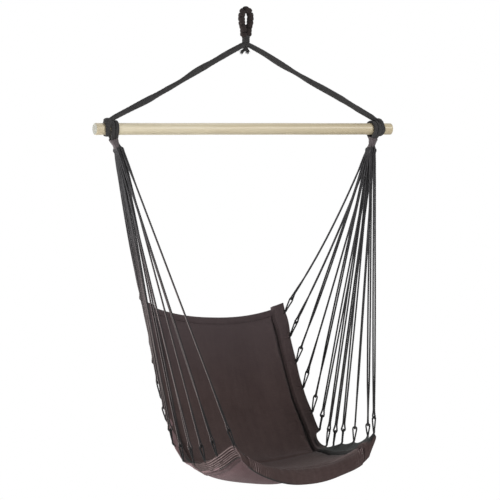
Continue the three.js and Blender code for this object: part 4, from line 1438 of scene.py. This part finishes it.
# How far the simulation moves each point of the coarse grid, at most as far as the cap.
def padShift(shape):
    rows, columns = shape["coarse"]
    rest = padRings(shape, rows, columns)[2]
    trial = addObject("padTrial", rest.reshape(-1, 3), padFaces(rows, columns)[0].tolist())
    shift = simulatePad(trial, rest.reshape(-1, 3), shape, rows, columns).reshape(rest.shape) - rest
    size = np.linalg.norm(shift, axis=-1, keepdims=True)
    return shift * np.minimum(1, shape["cap"] / np.maximum(size, 1e-9))


def makePad(shape):
    rows, columns = shape["fine"]
    coarseRows, coarseColumns = shape["coarse"]
    share, across, rings, outward = padRings(shape, rows, columns)
    down = resample(padShift(shape), coarseRows, rows, 0)
    halves = down[:, :coarseColumns], down[:, coarseColumns:]
    shift = np.concatenate([resample(half, coarseColumns, columns, 1) for half in halves], 1)
    folds = padFolds(share, across)
    beneath = underBelly(share, across) - foldShape["beneath"] * folds
    rings = rings + shift + outward * np.concatenate([folds, beneath[:, ::-1]], 1)[..., None]
    faces, i, j = padFaces(rows, columns)
    pad = addObject("seatPad", rings.reshape(-1, 3), faces.tolist(), padUv(share, across, i, j))
    dress(pad, "seat", "cloth", [cover, litUnderside], "seat_pad")
    # The under side takes the brighter underside cloth, painted light.
    isUnder = ((j >= columns) & (j < 2 * columns - 1)).ravel()
    useSecond(pad, np.append(isUnder, np.zeros(2 * (columns - 1), bool)))
    # Painted shade on both sides of the pad, and painted light and highlight on the sitter side.
    shaded = shadedBelow(share, across)[:, ::-1]
    markVertices(pad, "deepened", np.concatenate([deepenedAt(share, across), shaded], 1).ravel())
    markVertices(pad, "rubbed", np.concatenate([paintedLightAt(share, across), 0 * share], 1).ravel())


# The same field with another number of evenly spaced rows or columns: straight lines between the old ones.
def resample(field, old, new, axis):
    at = np.linspace(0, old - 1, new)
    first = np.minimum(at.astype(int), old - 2)
    part = (at - first).reshape((-1, 1, 1) if axis == 0 else (1, -1, 1))
    return blendOf(np.take(field, first, axis), np.take(field, first + 1, axis), part)


# The pad is blown up a little like a filled cover whose rim is sewn fast.
def simulatePad(trial, rest, shape, rows, columns):
    count = 2 * columns
    index = np.arange(rows * count).reshape(rows, count)
    sideColumns = [0, 1, columns - 2, columns - 1, columns, columns + 1, count - 2, count - 1]
    rim = np.concatenate([index[:2].ravel(), index[-2:].ravel(), index[:, sideColumns].ravel()])
    group = trial.vertex_groups.new(name="rim")
    group.add(np.unique(rim).tolist(), 1.0, "REPLACE")
    settings = trial.modifiers.new("cloth", "CLOTH").settings
    for key, value in shape["cloth"].items():
        setattr(settings, key, value)
    settings.vertex_group_mass = "rim"
    settings.use_pressure = True
    settings.uniform_pressure_force = shape["pressure"]
    settings.effector_weights.gravity = 0
    scene = bpy.context.scene
    for number in range(1, shape["frames"] + 1):
        scene.frame_set(number)
    evaluated = trial.evaluated_get(bpy.context.evaluated_depsgraph_get())
    made = np.empty(len(rest) * 3, np.float32)
    evaluated.data.vertices.foreach_get("co", made)
    scene.frame_set(1)
    bpy.data.objects.remove(trial)
    print("seat pad simulated")
    return made.reshape(-1, 3).astype(float)


# Folds of the cover, in metres toward the sitter: the crease where back and pan meet, shallow folds
# that hang from the top, a furrow beside each side hem, and drag lines from each lacing loop.
foldShape = {
    "crease": 0.007,
    "creasePlace": 0.572,
    "creaseWidth": 0.010,
    "hanging": 0.0032,
    "hangingTo": (0.25, 0.52),
    "furrow": 0.0100,
    "furrowAt": (0.003, 0.006),  # from the hem, and its reach
    "drag": 0.0030,
    "dragSize": (0.095, 0.0065),  # length and width
    "dragFrom": (0.030, 0.045),
    "seeds": {"left": 5, "right": 6},
    "beneath": 0.6,  # how much of the folds shows underneath
    "belly": 0.0085,  # the underside hangs down at the front, left of the middle
    "bellyShare": (0.87, 0.09),
    "bellyAcross": (-0.15, 0.28),
}


def padFolds(share, across):
    shape = foldShape
    length = seatShape["length"]
    place = shape["creasePlace"] + 0.010 * across**2 + 0.002 * np.sin(across * 9)
    crease = -shape["crease"] * bell((share - place) * length, 0, shape["creaseWidth"])
    crease = crease * (1 - 0.35 * across**2)
    hang = shape["hanging"] * np.sin(across * 11 + 1.5 * np.sin(share * 9)) * np.sin(across * 5 + 0.8)
    hang = hang * smoothStep(0.0, 0.12, share) * (1 - smoothStep(*shape["hangingTo"], share))
    inward = fromEdge(share, across)
    furrow = -shape["furrow"] * bell(inward - seatShape["hemWidth"], *shape["furrowAt"])
    drag = np.zeros(share.shape)
    for name, side in sides.items():
        folds = footFolds(shape["seeds"][name], side, 4, *shape["dragSize"], shape["drag"])
        drag = np.where((across < 0) == (side < 0), foldField(share * length, inward, folds), drag)
    return crease + hang + furrow + drag * smoothStep(*shape["dragFrom"], inward)


def underBelly(share, across):
    shape = foldShape
    return shape["belly"] * bell(share, *shape["bellyShare"]) * bell(across, *shape["bellyAcross"])


# The pad's colour marks, with the places down the cloth and across it where each comes or goes: painted shade
# in the groove, strip, seam and below, painted light aloft and a painted highlight along the lip.
padMarks = {
    "groove": {"at": (0.002, 0.005), "depths": (0.5, 0.8), "down": (0.1, 0.4)},
    "strip": {"depth": 0.6, "down": (0.56, 0.64), "inward": (0.0, 0.045)},
    "bare": {"share": 0.9, "down": (0.80, 0.90)},
    "aloft": {"paleWearAndLight": 0.11, "across": (0.1, 0.9), "down": (0.0, 0.45)},
    "lip": {"paleWearAndLight": 0.16, "at": (0.935, 0.04), "across": (0.3, 0.6)},
    "seam": {"depth": 0.75, "at": (0.003, 0.007)},
    "below": {"depth": 0.38, "across": (-0.95, -0.55), "down": (0.55, 0.75)},
}


# Painted shade: the cloth beside the side hems is darkened, most of all where the pan meets the right one,
# but not at the right front corner.
def deepenedAt(share, across):
    groove, strip, bare = (padMarks[key] for key in ("groove", "strip", "bare"))
    inward = fromEdge(share, across) - seatShape["hemWidth"]
    grooved = bell(inward, *groove["at"]) * blendOf(*groove["depths"], smoothStep(*groove["down"], share))
    stripped = smoothStep(*strip["down"], share) * (1 - smoothStep(*strip["inward"], inward)) * (across > 0)
    kept = 1 - bare["share"] * smoothStep(*bare["down"], share) * (across > 0)
    return np.maximum(grooved, stripped * strip["depth"]) * kept


# Painted light: paler toward the top right, and a painted highlight along the front band.
def paintedLightAt(share, across):
    aloft, lip = padMarks["aloft"], padMarks["lip"]
    top = smoothStep(*aloft["across"], across) * (1 - smoothStep(*aloft["down"], share))
    front = bell(share, *lip["at"]) * smoothStep(*lip["across"], across)
    return aloft["paleWearAndLight"] * top + lip["paleWearAndLight"] * front


# Underneath, painted shade: the cloth is darker along the side seams and from the left edge to the front.
def shadedBelow(share, across):
    seam, below = padMarks["seam"], padMarks["below"]
    along = seam["depth"] * bell(fromEdge(share, across) - seatShape["hemWidth"], *seam["at"])
    under = below["depth"] * smoothStep(*below["across"], across) * smoothStep(*below["down"], share)
    return np.maximum(along, under)


makePad(padShape)
print("seat pad made")


# A sewn casing: a flattened section carried along the cloth. The grid runs along the cloth in rows and
# round the section in columns, from the inner edge over the sitter side and back underneath.
def sectionOf(columns, cosPower, sinPower):
    angle = circle(columns)
    flatCos = np.sign(np.cos(angle)) * np.abs(np.cos(angle)) ** cosPower
    flatSin = np.sign(np.sin(angle)) * np.abs(np.sin(angle)) ** sinPower
    return (0.5 - 0.5 * flatCos)[None], flatSin[None]  # 0 at the inner edge to 1 at the outer, and height


# Side hems: drawn in between the lacing loops, gathered round each loop's foot, thicker along the seam
# than at the outer edge. Their outer face is pleated along the front, where the crests are painted pale,
# painted highlights.
hemShape = {
    "rows": 680,
    "columns": 96,
    "inner": 0.0068,  # half the thickness, beside the seam
    "outer": 0.0038,
    "gather": 0.0017,
    "gatherSize": (0.028, 0.0024),  # length and width
    "seeds": {"left": 21, "right": 22},
    "pinch": 0.0022,
    "pinchReach": (0.006, 0.012),  # along the hem and in from its edge
    "pleat": 0.0020,
    "pleatPitch": 0.0044,
    "pleatStart": {"left": 0.72, "right": 0.84},
    # painted highlights on pleat and gather crests, and painted light on the right hem's top
    "rubbed": {"pleats": 1.5, "gathers": 0.25, "above": 0.12},
    "rubbedFrom": (0.0006, 0.0018),  # heights of a gather over which its crest takes the painted highlight
    "front": (0.86, 0.92),
    "hemShade": 0.35,  # painted shade on the right hem between its top and its front
    "hemShadeDown": (0.18, 0.5),
    "rim": 0.85,  # and the painted shade on the left one's seam at the front
    "rimDown": (0.68, 0.80),
    "turned": (0.43, 0.67),  # where the left hem is turned over and takes the brighter underside cloth, painted light
    "below": (0.60, 0.83),  # where its underside takes it too
    "deep": (0.58, 0.965),  # where the inner face takes the painted shade
    "seams": (9, 14, 82, 87),  # columns of the grid
    "tabStart": -0.008,
    "tabWidth": 0.044,
}


def makeHem(name, side, shape):
    length = seatShape["length"]
    place, face = sectionOf(shape["columns"], 0.75, 0.6)
    along = np.linspace(shape["tabStart"], 1.0, shape["rows"])
    share = np.broadcast_to(along[:, None], (shape["rows"], shape["columns"]))
    wide = blendOf(shape["tabWidth"], seatShape["hemWidth"], smoothStep(0.03, 0.08, share))
    inset = blendOf(wide, scallopAt(share, side), place)
    middle, normal = clothWithNormal(share, side * (1 - inset / widthAt(share)))
    half = blendOf(shape["outer"], shape["inner"], bell(place, 0.16, 0.14))
    half = half * (0.75 + 0.25 * np.sin(np.pi * np.sqrt(place)))
    folds = footFolds(shape["seeds"][name], side, 7, *shape["gatherSize"], shape["gather"])
    gather = foldField(share * length, inset, folds) * np.abs(face)
    feet = np.array([loopPlace(k, side) for k in cordNumbers])
    apart = np.abs(share[..., None] - feet).min(-1) * length
    pinchAlong, pinchIn = shape["pinchReach"]
    pinch = shape["pinch"] * bell(apart, 0, pinchAlong) * bell(inset, 0, pinchIn) * face
    front = smoothStep(shape["pleatStart"][name], shape["pleatStart"][name] + 0.12, share)
    phase = 0.7 * np.sin(share * 61) + 0.5 * np.sin(share * 23)
    wave = np.cos(inset / shape["pleatPitch"] * 2 * math.pi + phase)
    outer = np.maximum(-face, 0)
    pleats = shape["pleat"] * wave * outer * (0.25 + 0.75 * front)
    rings = middle + normal * (half * face + gather - pinch - pleats)[..., None]
    around = np.linspace(0, 2 * seatShape["hemWidth"], shape["columns"] + 1)
    # The crests of pleats and gathers are painted pale, painted highlights, and the right hem's top is
    # painted lighter, painted light.
    paleWearAndLight = shape["rubbed"]
    rubbed = paleWearAndLight["pleats"] * smoothStep(0.2, 1.0, wave) * outer * front
    rubbed = rubbed + paleWearAndLight["gathers"] * smoothStep(*shape["rubbedFrom"], gather)
    rubbed = rubbed + paleWearAndLight["above"] * (1 - smoothStep(0.1, 0.6, share)) * (side > 0)
    # Painted shade on the hems' inner faces along the pan, on the right hem below its top, and on the left
    # hem's seam at the front.
    first, last = shape["deep"]
    nearFront = smoothStep(*shape["front"], share)
    along = smoothStep(first - 0.05, first + 0.03, share) * (1 - smoothStep(last - 0.015, last, share))
    along = along * (1 - nearFront * smoothStep(0.62, 0.30, place) * (side > 0))
    along = along * smoothStep(-0.35, 0.0, face)
    hemShade = shape["hemShade"] * smoothStep(*shape["hemShadeDown"], share) * (1 - nearFront) * (side > 0)
    rim = shape["rim"] * smoothStep(0.34, 0.10, place) * smoothStep(*shape["rimDown"], share) * (side < 0)
    deepened = np.maximum(np.maximum(along, hemShade), rim)
    tube = (rings, share[:, 0] * length, around)
    hem = tubesObject(f"{name}Hem", [tube], rubbed=rubbed, deepened=deepened)
    dress(hem, "seat", "cloth", [cover, litUnderside], f"hem_{name}")
    # The left hem's turned-over edge and underside take the brighter underside cloth, painted light.
    edge = 0.5 + 0.12 * np.sin(share * 70) + 0.08 * np.sin(share * 151)
    turned, below = ((share > low) & (share < high) for low, high in (shape["turned"], shape["below"]))
    paintedLight = ((turned & (place > edge)) | (below & (place < edge * 0.7) & (face < 0.1))) & (side < 0)
    useSecond(hem, np.append(paintedLight[:-1], np.zeros(2 * shape["columns"], bool)))
    fixNormals(hem)
    return rings


def fixNormals(piece):
    mesh = bmesh.new()
    mesh.from_mesh(piece.data)
    bmesh.ops.recalc_face_normals(mesh, faces=mesh.faces)
    mesh.to_mesh(piece.data)
    mesh.free()


# A line along a casing's face, with the direction away from the casing's middle.
def seamLine(rings, column, first, last):
    line = rings[first:last, column]
    return line, unit(line - rings[first:last].mean(1))


seamLines = []
for sideName, side in sides.items():
    hemRings = makeHem(sideName, side, hemShape)
    for column in hemShape["seams"]:
        seamLines.append(seamLine(hemRings, column, 8, -6))


# Front band and top hem: casings across the cloth, between the two side hems.
bandShape = {
    "rows": 460,
    "columns": 56,
    "heights": [0.9, 1.35, 1.45, 1.3, 1.0],
    "sway": 0.0006,
    "gather": 0.0024,
    "gatherPitch": 0.0061,
    "rubbed": 1.2,
    "gatherReach": {"left": 0.058, "right": 0.022},
    "drops": [3.0, 4.4, 6.5, 5.6, 3.0, 0.5, 5.0],  # mm, how far its lower edge hangs down, left to right
    "under": {"left": 0.012, "right": 0.003},  # how far its ends reach into the side hems
    "seamShade": 0.85,  # painted shade along its lower edge, on the left
    "seams": (4, 52),
}
topShape = {
    "rows": 300,
    "columns": 40,
    "heights": [0.75, 0.9, 0.95, 0.9, 0.8],
    "sway": 0.0006,
    "drops": [0, 0],
    "under": {"left": 0.003, "right": 0.003},
    "seamShade": 0,
    "seams": (4, 36),
}


def makeStrip(name, node, first, last, shape, wrinkles):
    u = np.linspace(-1, 1, shape["rows"])[:, None]
    place, face = sectionOf(shape["columns"], 0.6, 0.7)
    drop = smoothValue(shape["drops"], (u + 1) / 2) * 0.001 / seatShape["length"]
    share = blendOf(first, last, place) + place**1.5 * drop
    under = np.where(u < 0, shape["under"]["left"], shape["under"]["right"])
    inset = seatShape["hemWidth"] - under * smoothStep(0.5, 1.0, np.abs(u))
    middle, normal = clothWithNormal(share, u * (1 - inset / widthAt(np.minimum(share, 1))))
    half = seatShape["edgeThickness"] / 2 * smoothValue(shape["heights"], place)
    height, rubbed = wrinkles(u, place, shape)
    rings = middle + normal * (half * face + height * np.abs(face))[..., None]
    around = np.linspace(0, 2 * abs(last - first) * seatShape["length"], shape["columns"] + 1)
    # Painted shade along the band's lower edge on the left.
    seamShade = shape["seamShade"] * smoothStep(0.88, 0.97, place) * smoothStep(-0.1, -0.5, u)
    tube = (rings, (u[:, 0] + 1) * seatShape["halfWidth"], around)
    strip = tubesObject(name, [tube], rubbed=rubbed, deepened=seamShade)
    dress(strip, "seat", "cloth", [cover], node)
    fixNormals(strip)
    return rings


# Gathers stand side by side along the band at its two ends and die out toward its middle, where the
# band only sways a little. Their crests are painted pale, painted highlights.
def bandWrinkles(u, place, shape):
    height = shape["sway"] * (np.sin(u * 21 + 4 * place) + 2 / 3 * np.sin(u * 47 - 3 * place))
    rubbed = 0 * height
    for sideName, side in sides.items():
        away = (1 - side * u) * seatShape["halfWidth"] * 0.85
        fade = np.exp(-((away / shape["gatherReach"][sideName]) ** 3))
        phase = 2.2 * place + 1.7 * np.sin(away * 90 + 3 * place) + 0.9 * np.sin(away * 210 - 4 * place)
        wave = np.cos(away / shape["gatherPitch"] * 2 * math.pi + phase)
        deepest = 0.6 + 0.4 * np.sin(away * 160 + 5 * place)
        height = height + shape["gather"] * fade * wave * (1 - 0.35 * place) * deepest
        rubbed = rubbed + shape["rubbed"] * smoothStep(0.35, 1.0, wave) * fade * deepest
    return height, rubbed


def topWrinkles(u, place, shape):
    height = shape["sway"] * (np.sin(u * 19 + 2 * place) + 0.5 * np.sin(u * 53))
    return height, 0 * height


frontEdge = 1 - seatShape["bandWidth"] / seatShape["length"]
bandRings = makeStrip("frontBand", "front_band", frontEdge, 1.0, bandShape, bandWrinkles)
topEdge = seatShape["topHemWidth"] / seatShape["length"]
topRings = makeStrip("topHem", "top_hem", topEdge, 0.0, topShape, topWrinkles)
for strip, shape in ((bandRings, bandShape), (topRings, topShape)):
    for column in shape["seams"]:
        seamLines.append(seamLine(strip, column, 6, -6))


# Stitches: each is a small six-sided capsule that lies half sunk in the cloth, all of one size.
stitchShape = {
    "long": 0.0046,
    "pitch": 0.0066,
    "thickness": 0.0011,
    "sunk": 0.25,
    "levels": [-0.5, -0.36, 0.36, 0.5],  # of the capsule's rings, in its length
    "widths": [0.45, 1.0, 1.0, 0.45],
}


def makeStitches(lines, shape):
    radius = shape["thickness"] / 2
    levels, widths = (np.array(shape[key]) for key in ("levels", "widths"))
    centres, wide = xAxis * levels[:, None] * shape["long"], radius * widths[:, None]
    capsule = ringsRound(centres, yAxis[None], zAxis[None], circle(6), wide, wide).reshape(-1, 3)
    capsuleFaces = gridFaces(4, 6)[0]
    k = np.arange(6)
    capFaces = np.array([k[::-1], 18 + k])
    vertices, faces, caps = [], [], []
    offset = 0
    for line, outward in lines:
        lengths = lengthsOf(line)
        count = int(lengths[-1] / shape["pitch"])
        at = (np.arange(count) + 0.5) / count * lengths[-1]
        centre, *axes = (pointsAt((lengths, a), at) for a in (line, *pathAxes(line, outward)))
        placed = (centre + axes[1] * radius * (1 - 2 * shape["sunk"]))[:, None]
        placed = placed + sum(capsule[None, :, c, None] * axes[c][:, None] for c in range(3))
        starts = offset + np.arange(count)[:, None, None] * 24
        vertices.append(placed.reshape(-1, 3))
        faces.append((capsuleFaces[None] + starts).reshape(-1, 4))
        caps.append((capFaces[None] + starts).reshape(-1, 6))
        offset += count * 24
    allFaces = np.vstack(faces).tolist() + np.vstack(caps).tolist()
    stitches = addObject("stitches", np.vstack(vertices), allFaces)
    dress(stitches, "seat", "cloth", [threadYarn])
    fixNormals(stitches)


makeStitches(seamLines, stitchShape)
print("hems, bands and stitches made")


# Stage: a wide pale floor well under the seat, soft lamps and a white surround.
# Close to the chair the floor takes its shadow, and further out it glows as white as the surround.
stageShape = {
    "floor": -1.82,
    "size": 80.0,
    "near": 1.6,
    "far": 3.0,
    "glow": 0.5,
    "grey": (0.86, 0.86, 0.86),
    "sky": 0.28,
}
white = (1.0, 1.0, 1.0)


def emptySteps(owner):
    owner.use_nodes = True
    owner.node_tree.nodes.clear()
    return Steps(owner.node_tree)


def makeFloor(shape):
    half = shape["size"] / 2
    corners = np.array([[-half, -half, 0], [half, -half, 0], [half, half, 0], [-half, half, 0]])
    floor = addObject("floor", corners + zAxis * shape["floor"], [[0, 1, 2, 3]])
    material = bpy.data.materials.new("floorWhite")
    steps = emptySteps(material)
    away = steps.add("ShaderNodeVectorMath", {0: steps.vector("Object", (1, 1, 0))}, operation="LENGTH")
    far = steps.rise(away.outputs["Value"], shape["near"], shape["far"])
    glowing = steps.compute("ADD", steps.times(far, 1 - shape["glow"]), shape["glow"])
    matt = steps.add("ShaderNodeBsdfDiffuse", {"Color": shape["grey"]})
    glow = steps.add("ShaderNodeEmission", {"Color": white})
    steps.finish("ShaderNodeOutputMaterial", steps.times(steps.seen(), glowing), matt, glow)
    floor.data.materials.append(material)


def makeLamp(name, lamp):
    data = bpy.data.lights.new(name, "AREA")
    data.shape = "DISK"
    data.size = lamp["size"]
    data.energy = lamp["power"]
    piece = bpy.data.objects.new(name, data)
    bpy.context.scene.collection.objects.link(piece)
    direction = Vector(lamp["target"]) - Vector(lamp["place"])
    piece.location = lamp["place"]
    piece.rotation_euler = direction.to_track_quat("-Z", "Y").to_euler()
    piece.visible_camera = False


# The surround is plain white to the camera and softer as a source of light.
def makeWorld(shape):
    world = bpy.data.worlds.new("surround")
    bpy.context.scene.world = world
    steps = emptySteps(world)
    plain, bright = (steps.add("ShaderNodeBackground", {"Color": white, "Strength": strength})
                     for strength in (shape["sky"], 1.0))
    steps.finish("ShaderNodeOutputWorld", steps.seen("Is Transmission Ray"), plain, bright)


lamps = {
    "keyLamp": {"place": (2.4, -3.3, 1.2), "target": (0, 0, -0.9), "size": 1.2, "power": 58},
    "frontLamp": {"place": (1.0, -4.7, 0.3), "target": (0, 0, -0.7), "size": 1.2, "power": 34},
    "lowLamp": {"place": (-2.1, -1.6, -1.6), "target": (0.05, 0, -1.25), "size": 0.8, "power": 14},
    "sideLamp": {"place": (-2.7, 1.1, -0.8), "target": (0, 0, -0.9), "size": 1.0, "power": 80},
    "topLamp": {"place": (0.9, 0.8, 2.4), "target": (0, 0, -0.7), "size": 1.4, "power": 12},
}

makeFloor(stageShape)
makeWorld(stageShape)
for lampName, lamp in lamps.items():
    makeLamp(lampName, lamp)
bpy.context.scene.view_settings.view_transform = "Standard"
print("stage made")
